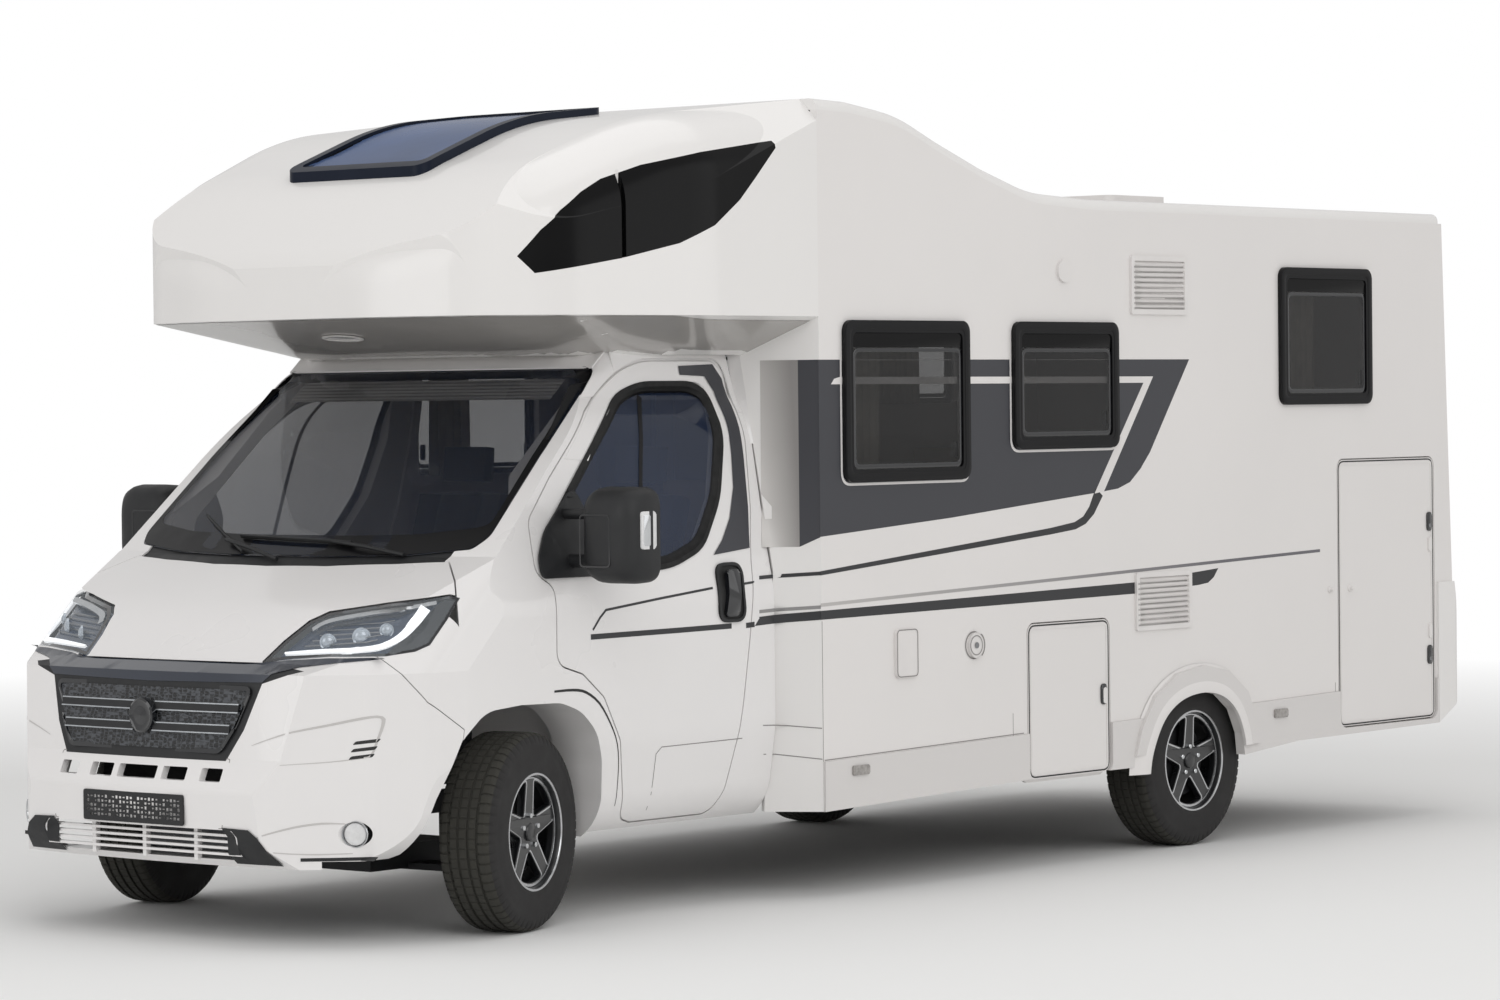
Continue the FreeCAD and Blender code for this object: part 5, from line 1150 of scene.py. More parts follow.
def nose_bar():
    # the glossy bar over the grille, which thins out below each headlamp
    high = [(0.0, 0.992), (0.440, 0.991), (0.572, 1.005), (0.739, 1.015), (0.925, 1.018)]
    low = [(0.925, 1.013), (0.800, 1.001), (0.660, 0.984), (0.585, 0.962), (0.548, 0.932), (0.0, 0.925)]
    # the bar's blue is a painted reflection on its glossy black
    pair(decal, "nose_bar", high + low, "y", ["grille", "front_bumper"], "bar_blue", lift=0.0025, step=0.03)


def holed(name, outline, holes, axis, place, thick, material, body):
    # a flat plate with holes, its front at a place along a view's direction
    mesh = plate_shape(name, [outline] + holes, thick)
    out, along, up = VIEWS[axis]
    turn = Matrix(((out.x, along.x, up.x, 0), (out.y, along.y, up.y, 0), (out.z, along.z, up.z, 0),
                   (0, 0, 0, 1)))
    mesh.transform(Matrix.Translation(out * (place - thick) - SHIFT) @ turn)
    return finished(name, mesh, material, body, smooth=False)


PLATE = (-0.262, 0.262, 0.422, 0.532)


def front_plate():
    # the blank carrier: a rim round a field of small open cells
    low_u, high_u, low_v, high_v = PLATE
    holes = []
    columns, rows = 26, 5
    for i in range(columns):
        for j in range(rows):
            if (i * 5 + j * 3) % 7 == 0:
                continue
            wide, high = (high_u - low_u - 0.03) / columns, (high_v - low_v - 0.03) / rows
            u, v = low_u + 0.015 + i * wide, low_v + 0.015 + j * high
            inset_u, inset_v = wide * 0.18, high * (0.14 + 0.10 * ((i + j) % 3))
            holes.append(box_outline(u + inset_u, u + wide - inset_u, v + inset_v, v + high - inset_v))
    place = -cad_low[1] - MID
    ring_slab("plate_carrier", box_outline(low_u, high_u, low_v, high_v, 0.010),
              box_outline(low_u + 0.012, high_u - 0.012, low_v + 0.012, high_v - 0.012, 0.005), "y",
              place - 0.006, place, "plastic", "vehicle", soft=0.001)
    holed("plate_cells", box_outline(low_u + 0.008, high_u - 0.008, low_v + 0.008, high_v - 0.008), holes,
          "y",
          place - 0.0002, 0.001, "plastic", "vehicle")


def bumper_details():
    target = ["front_bumper"]
    outer = box_outline(-0.440, 0.440, 0.418, 0.664, 0.012)
    inner = shifted_outline(outer, -0.0030)
    ring_decal("carrier_seam", outer, inner, "y", target, "seam", "vehicle", lift=0.0006, rows=1)
    for k in range(3):
        low = 0.664 + 0.026 * k
        slot = rounded([(0.842 + 0.006 * k, low), (0.903 + 0.006 * k, low + 0.008),
                        (0.909 + 0.006 * k, low + 0.021),
                        (0.850 + 0.006 * k, low + 0.012)], 0.004, 3)
        pair(decal, "bumper_slot_%d" % k, slot, "y", target, "seam_dark", lift=0.0009, step=0.02)
    for name, profile, material in (
            ("fog_bowl", [(-0.040, 0.0400), (-0.026, 0.0415), (-0.004, 0.0435), (0.001, 0.0455),
                          (-0.004, 0.0480)], "chrome"),
            ("fog_lens", [(-0.012, 0.0410), (-0.007, 0.0385), (-0.003, 0.0260), (-0.0015, 0.0120),
                          (-0.001, 0.0004)], "lens_white")):
        bm = bmesh.new()
        revolved(bm, profile, 40)
        out = Vector((0.48, -0.877, 0.0)).normalized()
        turn = Vector((1, 0, 0)).rotation_difference(out).to_matrix().to_4x4()
        seat_point = cast("y", 0.800, 0.403, target, 0.0)
        edge_point = cast("y", 0.910, 0.403, target, 0.0)
        middle = (seat_point + edge_point) / 2
        bm.transform(Matrix.Translation(Vector((0.858, middle.y - MID - 0.004, 0.403))) @ turn)
        left = from_bmesh(name + "_left", bm, material, "vehicle")
        twin(left)
    for side in (-1, 1):
        bolt = oval(side * 0.372, 0.603, 0.010, 0.014, 16)
        decal("carrier_hole_%s" % ("left" if side > 0 else "right"), bolt, "y", target, "seam_dark",
              "vehicle",
              lift=0.0006, step=0.03)


def lower_trim():
    target = ["front_bumper"]
    for sign, tag in ((1, "left"), (-1, "right")):
        end_piece = [(sign * u, v) for u, v in ((0.440, 0.424), (0.560, 0.420), (0.600, 0.392),
                                                (0.640, 0.330),
                                                (0.660, 0.296), (0.448, 0.296))]
        decal("intake_end_%s" % tag, end_piece, "y", target, "plastic", "vehicle", lift=0.005, step=0.03)


def wiper(name, pivot, elbow, start, stop):
    # pivot, elbow and both ends of the blade as (x, z) seen from the front
    glass_nodes = ["windscreen", "cowl", "bonnet", "cab_shell"]

    def over(point, lift):
        return tuple(cast("y", point[0], point[1], glass_nodes, lift))
    arm = [over(pivot, 0.012), over(((pivot[0] + elbow[0]) / 2, (pivot[1] + elbow[1]) / 2), 0.024),
           over(elbow, 0.020)]
    tube(name + "_arm", arm, 0.0075, "plastic", "vehicle")
    blade = [over((start[0] + (stop[0] - start[0]) * k / 8, start[1] + (stop[1] - start[1]) * k / 8), 0.010)
             for k in range(9)]
    tube(name + "_blade", blade, 0.0060, "rubber", "vehicle")
    spoiler = [(x, y - 0.006, z + 0.006) for x, y, z in blade]
    tube(name + "_spine", spoiler, 0.0045, "plastic", "vehicle")


# the cab's sides

PANE_SHARES = [(0.0, 0.27), (0.325, 0.745), (0.49, 0.94), (0.64, 1.0), (0.925, 1.0), (1.0, 0.95), (1.0, 0.70),
               (0.93, 0.37), (0.80, 0.11), (0.62, 0.02), (0.43, 0.0), (0.0, 0.06)]
PILLAR = [(1.064, 2.038), (1.262, 2.044), (1.303, 1.990), (1.312, 1.880), (1.308, 1.695), (1.292, 1.500),
          (1.266, 1.345), (1.051, 1.325), (1.115, 1.380), (1.175, 1.460), (1.222, 1.576), (1.238, 1.700),
          (1.244, 1.817), (1.240, 1.940), (1.205, 1.998), (1.064, 2.004)]
PANE = rounded(spread(PANE_SHARES, 0.185, 1.195, 1.284, 1.970), 0.060, 4)
# the upright bar in the door's glass
GLASS_BAR = [(0.648, 1.300), (0.672, 1.400), (0.711, 1.610), (0.757, 1.800), (0.800, 1.890), (0.828, 1.924)]

DOOR_THICK = [(0.329, 1.050), (0.800, 1.053), (1.118, 1.056)]
DOOR_THIN = [(0.341, 1.075), (0.380, 1.118), (0.413, 1.145), (0.700, 1.174), (1.018, 1.203)]


def door_decor(end, side, body):
    for name, points, width in (("door_line", DOOR_THICK, 0.020), ("door_hair", DOOR_THIN, 0.009)):
        left = decal("%s_%s" % (name, end), ribbon(points, width), "x", ["cab_door_left"], "decor_dark", body,
                     step=0.06)
        mirrored(side, left)


# the cab's upper edge: the door frames' tops, the corners beside the screen and the header above it

CAB_SIDE = [(1.50, 0.9645), (1.70, 0.9295), (1.80, 0.9075), (1.86, 0.882), (1.90, 0.8585), (1.93, 0.844),
            (1.97, 0.831), (2.01, 0.822), (2.06, 0.813), (2.095, 0.808)]
FRAME_TOP = [((0.435, 1.690), (0.300, 1.700)), ((0.513, 1.795), (0.425, 1.820)),
             ((0.600, 1.872), (0.545, 1.915)),
             ((0.680, 1.929), (0.690, 2.000)), ((0.755, 1.958), (0.778, 2.036)),
             ((0.840, 1.974), (0.875, 2.056)),
             ((1.000, 1.976), (1.000, 2.058)), ((1.119, 1.976), (1.200, 2.058)),
             ((1.166, 1.968), (1.268, 2.054)),
             ((1.190, 1.946), (1.312, 2.012)), ((1.199, 1.900), (1.322, 1.930)),
             ((1.199, 1.830), (1.326, 1.840)),
             ((1.199, 1.764), (1.326, 1.764))]


def cab_side_x(z):
    for (low, first), (high, second) in zip(CAB_SIDE, CAB_SIDE[1:]):
        if z <= high:
            return first + (second - first) * (z - low) / (high - low)
    return CAB_SIDE[-1][1]


def skin_x(y, z):
    hit = cast("x", y, z, ["cab_door_left"])
    return max(cab_side_x(z), hit.x if hit else 0.0)


def strip(name, rows, material, body, thick):
    bm = bmesh.new()
    grid = [[bm.verts.new((x, y - MID, z)) for x, y, z in row] for row in rows]
    for low, high in zip(grid, grid[1:]):
        for i in range(len(low) - 1):
            bm.faces.new((low[i], low[i + 1], high[i + 1], high[i]))
    bmesh.ops.recalc_face_normals(bm, faces=bm.faces)
    if sum(f.normal.x + f.normal.z * 0.2 for f in bm.faces) < 0:
        bmesh.ops.reverse_faces(bm, faces=bm.faces)
    bmesh.ops.solidify(bm, geom=list(bm.faces), thickness=thick)
    return from_bmesh(name, bm, material, body)


def screen_y(x, z):
    return 0.430 + 1.165 * (z - 1.95) + 0.128 * x * x


def cab_crown():
    # door frames
    for end, side in SIDES:
        inner = curved([a for a, b in FRAME_TOP], 3)
        outer = curved([b for a, b in FRAME_TOP], 3)
        rows = []
        for t in (0.0, 0.04, 0.2, 0.4, 0.6, 0.8, 0.96, 1.0):
            row = []
            for a, b in zip(inner, outer):
                y, z = a[0] + (b[0] - a[0]) * t, a[1] + (b[1] - a[1]) * t
                row.append((skin_x(y, z) + (0.0018 if 0 < t < 1 else -0.004), y, z))
            rows.append(row)
        made = [strip("door_crown_%s" % end, rows, "cab_white", "door_" + end, 0.012)]
        # the corner between the screen and the door, and the edge over the door
        rows = []
        for z in (1.925, 1.950, 1.975, 2.000, 2.020, 2.040, 2.062, 2.090):
            edge = 0.838 - 0.26 * max(0.0, z - 1.935) if z < 2.012 else 0.819 - (z - 2.012) * 1.15
            edge = max(edge, 0.786) + 0.001
            stop = curved([(1.869, 0.470), (1.935, 0.575), (2.016, 0.706), (2.050, 0.795), (2.095, 0.86)], 1)
            place = next((a[1] + (b[1] - a[1]) * (z - a[0]) / (b[0] - a[0]) for a, b in zip(stop, stop[1:])
                          if a[0] <= z <= b[0]), 0.86)
            start = Vector((edge, screen_y(edge, z) - 0.002))
            turn = Vector((cab_side_x(z), screen_y(cab_side_x(z), z) + 0.004))
            finish = Vector((cab_side_x(z), place - 0.006))
            row = []
            for k in range(11):
                t = k / 10
                point = start * (1 - t) ** 2 + turn * 2 * t * (1 - t) + finish * t * t
                row.append((point.x, point.y, z))
            rows.append(row)
        made.append(strip("cab_corner_%s" % end, rows, "cab_white", "vehicle", 0.006))
        low = [(0.700, 2.014), (0.780, 2.046), (0.868, 2.066), (1.000, 2.067), (1.200, 2.067), (1.282, 2.064),
               (1.326, 2.020), (1.334, 1.940), (1.335, 1.860)]
        high = [(0.690, 2.092), (0.780, 2.092), (0.868, 2.092), (1.000, 2.092), (1.200, 2.092),
                (1.320, 2.092),
                (1.350, 2.070), (1.362, 1.940), (1.362, 1.860)]
        low, high = curved(low, 2), curved(high, 2)
        rows = [[(cab_side_x(a[1] + (b[1] - a[1]) * t) + 0.001, a[0] + (b[0] - a[0]) * t,
                  a[1] + (b[1] - a[1]) * t)
                 for a, b in zip(low, high)] for t in (0.0, 0.33, 0.66, 1.0)]
        made.append(strip("cab_rail_%s" % end, rows, "cab_white", "vehicle", 0.006))
        rows = [[(cab_side_x(z) + (0.938 - 0.2 * (z - 1.7) - cab_side_x(z)) * t, 1.3605 + 0.0105 * t,
                  z) for z in
                 (1.74, 1.80, 1.86, 1.93, 1.99, 2.04, 2.092)] for t in (0.0, 0.3, 0.7, 1.0)]
        made.append(strip("cab_return_%s" % end, rows, "cab_white", "vehicle", 0.004))
        mirrored(side, *made)
    columns = [0.800 * (2 * i / 48 - 1) for i in range(49)]
    rows = [[(x, screen_y(x, z) - (0.003 if z < 2.09 else 0.0), z) for x in columns] for z in (2.030, 2.045,
                                                                                               2.062, 2.080,
                                                                                               2.092)]
    strip("cab_header", rows, "cab_white", "vehicle", -0.006)


def glass_seal(end, body):
    outer, inner = shifted_outline(PANE, 0.012), shifted_outline(PANE, -0.026)
    bm = bmesh.new()
    rows = []
    for t, sink in ((0.0, 0.0), (0.3, 0.0), (0.55, 0.0), (0.75, 0.7), (1.0, 1.0)):
        row = []
        for a, b in zip(outer, inner):
            y, z = a[0] + (b[0] - a[0]) * t, a[1] + (b[1] - a[1]) * t
            skin = skin_x(*a) + 0.0055
            pane = cast("x", b[0], b[1], ["door_glass_left"])
            deep = (pane.x if pane else cab_side_x(z) - 0.012) + 0.001
            row.append(bm.verts.new((skin + (deep - skin) * sink, y - MID, z)))
        rows.append(row)
    count = len(outer)
    for low, high in zip(rows, rows[1:]):
        for i in range(count):
            bm.faces.new((low[i], low[(i + 1) % count], high[(i + 1) % count], high[i]))
    bmesh.ops.recalc_face_normals(bm, faces=bm.faces)
    if sum(f.normal.x for f in bm.faces) < 0:
        bmesh.ops.reverse_faces(bm, faces=bm.faces)
    return from_bmesh("glass_seal_%s" % end, bm, "rubber", body)


def door_furniture(end, side, body):
    made = []
    target = ["cab_door_left", "door_crown_left"]
    pocket = box_outline(1.042, 1.194, 1.070, 1.294, 0.052, 6)
    made.append(decal("handle_pocket_%s" % end, pocket, "x", target, "seam_dark", body, lift=0.0008,
                      step=0.03))
    surface_x = cast("x", 1.118, 1.182, target).x
    made.append(ring_decal("handle_rim_%s" % end, pocket, shifted_outline(pocket, -0.012), "x", target,
                           "plastic",
                           body, lift=0.006, rows=3, thick=-0.005))
    grip = rounded([(1.072, 1.092), (1.150, 1.092), (1.160, 1.180), (1.150, 1.272), (1.080, 1.272),
                    (1.090, 1.180)],
                   0.018, 4)
    made.append(slab("handle_grip_%s" % end, grip, "x", surface_x + 0.0015, surface_x + 0.020, "gloss_black",
                     body,
                     soft=0.007))
    made.append(glass_seal(end, body))
    made.append(ring_decal("glass_band_%s" % end, shifted_outline(PANE, -0.016),
                           shifted_outline(PANE, -0.034), "x",
                           ["door_glass_left"], "frame_black", body, lift=0.0012, rows=2))
    made.append(decal("glass_bar_%s" % end, ribbon(curved(GLASS_BAR, 3), 0.020), "x", ["door_glass_left"],
                      "frame_black", body, lift=0.0018, step=0.03))
    made.append(decal("pillar_panel_%s" % end, PILLAR, "x", target, "decor_grey", body, lift=0.0030,
                      step=0.04))
    made.append(decal("door_line_end_%s" % end, ribbon([(1.202, 1.054), (1.252, 1.056)], 0.020), "x", target,
                      "decor_dark", body, step=0.05))
    made.append(decal("door_hair_end_%s" % end, ribbon([(1.202, 1.212), (1.262, 1.216)], 0.009), "x", target,
                      "decor_dark", body, step=0.05))
    lower = [(1.180, 0.628), (0.720, 0.624), (0.692, 0.600), (0.688, 0.390)]
    made.append(decal("door_crease_%s" % end, ribbon(lower, 0.0035), "x", target, "seam", body, lift=0.0005,
                      step=0.05))
    arch = [(0.130, 0.862), (0.230, 0.862), (0.300, 0.850), (0.372, 0.806), (0.430, 0.730), (0.470, 0.650),
            (0.490, 0.560), (0.497, 0.420)]
    made.append(decal("arch_line_%s" % end, ribbon(curved(arch, 3),
                                                   spaced([0.008, 0.010, 0.010, 0.009, 0.007, 0.005, 0.004,
                                                           0.003], 3)),
                      "x", ["cab_door_left", "cab_shell"], "seam_dark", "vehicle", lift=0.0008, step=0.04))
    mirrored(side, *made)


MIRROR = (1.095, 1.372, 1.250, 1.600)
MIRROR_FRONT, MIRROR_REAR = 0.175, 0.335


def mirror_form():
    # the housing as rings from its rounded front to the open back, with a lip round the two glasses
    low_u, high_u, low_v, high_v = MIRROR
    bm = bmesh.new()
    rows = [(0.000, 0.100, 0.060), (0.004, 0.062, 0.075), (0.014, 0.034, 0.085), (0.034, 0.014, 0.090),
            (0.062, 0.004, 0.090), (0.100, 0.000, 0.080), (0.148, 0.003, 0.070), (0.158, 0.007, 0.066),
            (0.156, 0.014, 0.060), (0.136, 0.016, 0.060)]
    rings = []
    for deep, inset, soft in rows:
        ring = box_outline(low_u + inset * 0.9, high_u - inset, low_v + inset * 0.9, high_v - inset, soft, 8)
        rings.append([bm.verts.new((u, MIRROR_FRONT + deep - MID + 0.001, v)) for u, v in ring])
    for a, b in zip(rings, rings[1:]):
        for i in range(len(a)):
            j = (i + 1) % len(a)
            bm.faces.new((a[i], a[j], b[j], b[i]))
    bm.faces.new(rings[0])
    bm.faces.new(rings[-1])
    return bm


def mirrors():
    low_u, high_u, low_v, high_v = MIRROR
    for end, side in SIDES:
        made = []
        body = "door_" + end
        made.append(from_bmesh("mirror_%s_form" % end, mirror_form(), "plastic", body))
        base = decal("mirror_base_%s" % end, rounded([(0.080, 1.268), (0.405, 1.268), (0.392, 1.470),
                                                      (0.330, 1.580),
                                                      (0.285, 1.580), (0.128, 1.440), (0.076, 1.340)], 0.030,
                                                      4),
                     "x", ["cab_door_left", "door_glass_left"], "plastic", body, lift=0.009, step=0.04,
                     thick=-0.008)
        made.append(base)
        for height, radius, tag in ((1.500, 0.019, "a"), (1.330, 0.024, "b")):
            start = cast("x", 0.255, height, ["cab_door_left", "door_glass_left"]).x - 0.010
            points = [(start + (1.130 - start) * t / 4, 0.255 + 0.006 * math.sin(t / 4 * math.pi), height)
                      for t in range(5)]
            made.append(tube("mirror_arm_%s_%s" % (tag, end), points, radius, "plastic", body))
        ring = box_outline(low_u + 0.020, low_u + 0.168, low_v + 0.060, high_v - 0.098, 0.020, 5)
        panel = ring_decal("mirror_panel_%s" % end, ring, shifted_outline(ring, -0.006), "y",
                           ["mirror_left"], "gloss_black", body, lift=0.0, rows=1)
        for vert in panel.data.vertices:
            vert.co.y = MIRROR_FRONT - MID + 0.0005
        made.append(panel)
        lamp = box_outline(MIRROR_FRONT + 0.052, MIRROR_FRONT + 0.132, 1.376, 1.512, 0.012, 4)
        made.append(slab("mirror_lamp_%s" % end, lamp, "x", high_u - 0.014, high_u - 0.0008, "lens_white",
                         body,
                         soft=0.004))
        inner = box_outline(MIRROR_FRONT + 0.064, MIRROR_FRONT + 0.100, 1.388, 1.500, 0.008, 4)
        made.append(slab("mirror_lamp_core_%s" % end, inner, "x", high_u - 0.0014, high_u - 0.0001, "chrome",
                         body,
                         soft=0.0006))
        glass = box_outline(low_u + 0.020, high_u - 0.020, low_v + 0.115, high_v - 0.020, 0.040, 6)
        made.append(slab("mirror_glass_%s" % end, glass, "y", -(MIRROR_REAR - 0.010), -(MIRROR_REAR - 0.018),
                         "chrome",
                         body, soft=0.001))
        glass = box_outline(low_u + 0.020, high_u - 0.020, low_v + 0.020, low_v + 0.103, 0.030, 6)
        made.append(slab("mirror_wide_%s" % end, glass, "y", -(MIRROR_REAR - 0.010), -(MIRROR_REAR - 0.018),
                         "chrome",
                         body, soft=0.001))
        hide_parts("mirror_" + end)
        mirrored(side, *made)


# the screen's black border

SCREEN_SHARES = [(0.30, 0.0), (0.66, 0.01), (0.96, 0.045), (1.0, 0.11), (0.955, 0.565), (0.905, 0.96),
                 (0.87, 1.0)]


def screen_border():
    half = [(0.905 * a, 1.350 + (2.040 - 1.350) * b) for a, b in SCREEN_SHARES]
    outer = rounded(both_halves(half), 0.030, 4)
    inner = []
    for u, v in outer:
        low_share = max(0.0, min(1.0, (1.52 - v) / 0.14))
        top_share = max(0.0, min(1.0, (v - 1.93) / 0.08))
        side_share = max(0.0, min(1.0, (abs(u) - 0.70) / 0.12))
        inner.append((u - math.copysign(0.034, u) * side_share, v + 0.075 * low_share - 0.045 * top_share))
    ring_decal("screen_border", shifted_outline(outer, -0.003), inner, "y",
               ["windscreen", "cab_shell", "cab_corner_left", "cab_corner_right", "cab_header"],
               "frame_black",
               "vehicle", lift=0.0012, rows=3)


# the glossy underside of the alcove, coloured grey as painted shade on the white shell

def alcove_underside():
    front, tree = [], tree_of(["alcove"])
    columns = [1.130 * (2 * i / 44 - 1) for i in range(45)]
    for x in columns:
        y = -0.70
        while y < 1.3:
            hit, normal, index, distance = tree.ray_cast(Vector((x, y - MID, 0)), Vector((0, 0, 1)))
            if hit is not None and abs(normal.z) > 0.45:
                break
            y += 0.01
        front.append((x, y + 0.012))
    outline = front + [(1.130, 1.484), (-1.130, 1.484)]
    # a grey sheet of painted shade laid over the underside
    decal("alcove_underside", outline, "under", ["alcove"], "under_grey", "vehicle", lift=0.0012, step=0.07)
    lamp = oval(0.0, 0.10, 0.10, 0.05, 32)
    ring_decal("underside_lamp", lamp, shifted_outline(lamp, -0.012), "under", ["alcove"], "trim_white",
               "vehicle",
               lift=0.004, rows=2, thick=-0.003)
    decal("underside_lens", shifted_outline(lamp, -0.012), "under", ["alcove"], "lens_white", "vehicle",
          lift=0.003,
          step=0.03)


def window_divider():
    for end, side in SIDES:
        line = decal("alcove_divider_%s" % end, ribbon([(0.462, 2.750), (0.457, 2.440)], 0.012), "x",
                     ["alcove_windows", "alcove"], "trim_white", "vehicle", lift=0.0035, step=0.05)
        mirrored(side, line)


def skylight_glass():
    field = box_outline(-0.330, 0.330, 0.205, 1.125, 0.030, 5)
    # the skylight's blue field: tinted glass with a painted reflection
    decal("skylight_glass", field, "z", ["alcove_windows"], "roof_glass", "vehicle", lift=0.0012, step=0.06)
    inner = box_outline(-0.300, 0.300, 0.235, 1.095, 0.024, 5)
    ring_decal("skylight_band", field, inner, "z", ["alcove_windows"], "skylight_trim", "vehicle",
               lift=0.0022, rows=2)


def screen_blind():
    # the folded blind behind the screen's upper edge
    columns = [0.690 * (2 * i / 40 - 1) for i in range(41)]
    rows = []
    for k in range(13):
        z = 1.918 + 0.074 * k / 12
        fold = 0.006 * (k % 2)
        rows.append([(x, screen_y(x, z) + 0.034 + fold, z) for x in columns])
    strip("screen_blind", rows, "blind", "vehicle", 0.0012)


# the cab seats: stuffed squabs and backs with sewn channels

def stuffed(name, centre, size, lean, channels):
    bm = bmesh.new()
    bmesh.ops.create_cube(bm, size=2.0)
    bmesh.ops.subdivide_edges(bm, edges=bm.edges, cuts=15, use_grid_fill=True)
    half = [d / 2 for d in size]
    for vert in bm.verts:
        x, y, z = vert.co
        ball = Vector((x * math.sqrt(max(0, 1 - y * y / 2 - z * z / 2 + y * y * z * z / 3)),
                       y * math.sqrt(max(0, 1 - x * x / 2 - z * z / 2 + x * x * z * z / 3)),
                       z * math.sqrt(max(0, 1 - x * x / 2 - y * y / 2 + x * x * y * y / 3))))
        soft = vert.co * 0.80 + ball * 0.20
        pinch = (1 - 0.035 * (1 - x * x) * (1 if abs(y) > 0.9 else 0)
                 - 0.03 * (1 - y * y) * (1 if abs(x) > 0.9 else 0))
        rise = 0.10 * (1 - x * x) * (1 - y * y) * z
        for place in channels:
            rise -= 0.16 * math.exp(-((x - place) / 0.045) ** 2) * z
        vert.co = Vector((soft.x * half[0] * pinch, soft.y * half[1] * pinch,
                          (soft.z * 0.86 + rise) * half[2]))
    bm.transform(Matrix.Translation(Vector(centre) - SHIFT) @ Matrix.Rotation(lean, 4, "X"))
    obj = from_bmesh(name, bm, "cloth", "vehicle")
    return obj


def cab_seats():
    for tag, x in (("left", 0.46), ("right", -0.46)):
        squab = stuffed("seat_squab_" + tag, (x, 0.872, 0.905), (0.49, 0.49, 0.140), 0.03, (-0.52, 0.52))
        stuffed("seat_back_" + tag, (x, 1.150, 1.215), (0.48, 0.72, 0.120), math.radians(73.5), (-0.5, 0.5))
        stuffed("seat_head_" + tag, (x, 1.252, 1.662), (0.24, 0.145, 0.072), math.radians(84.0), ())
        slab("seat_plinth_" + tag, box_outline(x - 0.118, x + 0.118, 0.655, 1.100, 0.04), "z", 0.580, 0.826,
             "plastic_soft", "vehicle", soft=0.01)
        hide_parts("cab_seats")


# the body's sides

def outline_ring(name, size, grow, wide, soft, material, body, lift=0.0008):
    outer = box_outline(size[0] - grow, size[1] + grow, size[2] - grow, size[3] + grow, soft + grow, 6)
    inner = box_outline(size[0] - grow + wide, size[1] + grow - wide, size[2] - grow + wide,
                        size[3] + grow - wide, soft + grow - wide, 6)
    ring_slab(name, outer, inner, "x", BODY_HALF - 0.0004, BODY_HALF + lift, material, body)


GARAGE = (5.058, 5.840, 0.443, 1.614)
SERVICE = (2.791, 3.347, 0.366, 0.991)
JOINTS = {"left": (1.492, 2.690, 5.030), "right": (1.492, 2.560, 5.030)}


def lock(name, y, z, body):
    slab(name + "_plate", box_outline(y - 0.019, y + 0.019, z - 0.043, z + 0.043, 0.018), "x",
         BODY_HALF - 0.001, BODY_HALF + 0.007, "gloss_black", body, soft=0.002)
    slab(name + "_key", oval(y, z - 0.018, 0.009, 0.009, 18), "x", BODY_HALF + 0.0065, BODY_HALF + 0.0085,
         "steel", body, soft=0.0006)


def side_details(end, side):
    def line(name, points, width, material="seam", body="vehicle", proud=0.0004):
        flat_form("%s_%s" % (name, end), [ribbon(points, width)], material, body, side, proud)

    for index, place in enumerate(JOINTS[end]):
        line("wall_joint_%d" % index, [(place, 0.455), (place, 1.060 if index == 0 else 0.640)], 0.003)
    for name, y, z, wide, high in (("marker_a", 1.700, 0.480, 0.050, 0.019),
                                   ("marker_b", 4.580, 0.532, 0.050, 0.019)):
        lens = slab("%s_%s" % (name, end), box_outline(y - wide, y + wide, z - high, z + high, 0.008), "x",
                    BODY_HALF + 0.010, BODY_HALF + 0.021, "marker", "vehicle", soft=0.003)
        mirrored(side, lens)
    line("skirt_line", [(1.500, 0.529), (ENTRY[0] - 0.03 if side < 0 else 2.760, 0.556)], 0.0035,
         proud=0.0008)
    arch_flare(end, side)
    if side > 0:
        for name, low, high, base, count in (("vent_low", 3.540, 3.900, 0.955, 9),
                                             ("vent_high", 3.530, 3.890, 2.268, 9)):
            for k in range(count):
                z = base + 0.0215 * k
                decal("%s_slot_%d" % (name, k), ribbon([(low, z), (high, z + 0.002)], 0.0065), "x",
                      ["side_fittings", "wall_left"], "slat_shade", "vehicle", lift=0.0016, step=0.3)
        ring = oval(2.436, 0.925, 0.056, 0.056, 36)
        ring_decal("cap_ring", ring, shifted_outline(ring, -0.006), "x", ["side_fittings", "wall_left"],
                   "seam", "vehicle",
                   lift=0.0015, rows=1)
        ring = oval(2.436, 0.925, 0.040, 0.040, 36)
        ring_decal("cap_inner", ring, shifted_outline(ring, -0.004), "x", ["side_fittings", "wall_left"],
                   "seam",
                   "vehicle", lift=0.0015, rows=1)
        decal("cap_key", oval(2.436, 0.925, 0.012, 0.012, 20), "x", ["side_fittings", "wall_left"], "steel",
              "vehicle",
              lift=0.003, step=0.05, thick=-0.002)
        flap = box_outline(1.932, 2.063, 0.822, 1.008, 0.022, 5)
        ring_decal("flap_ring", flap, shifted_outline(flap, -0.004), "x", ["side_fittings", "wall_left"],
                   "seam",
                   "vehicle", lift=0.0015, rows=1)
        slab("flap_key", oval(1.998, 0.852, 0.009, 0.009, 18), "x", BODY_HALF + 0.001, BODY_HALF + 0.012,
             "seam_dark",
             "vehicle", soft=0.001)
        for place, body in ((4.990, "vehicle"), (5.148, "garage_leaf")):
            bm = bmesh.new()
            revolved(bm, [(0.0, 0.016), (0.006, 0.015), (0.010, 0.009), (0.020, 0.0085), (0.023, 0.006),
                          (0.024, 0.0004)], 20)
            bm.transform(Matrix.Translation((BODY_HALF - 0.0005, place - MID, 1.049)))
            from_bmesh("holder_%d" % round(place * 100), bm, "trim_white", body)


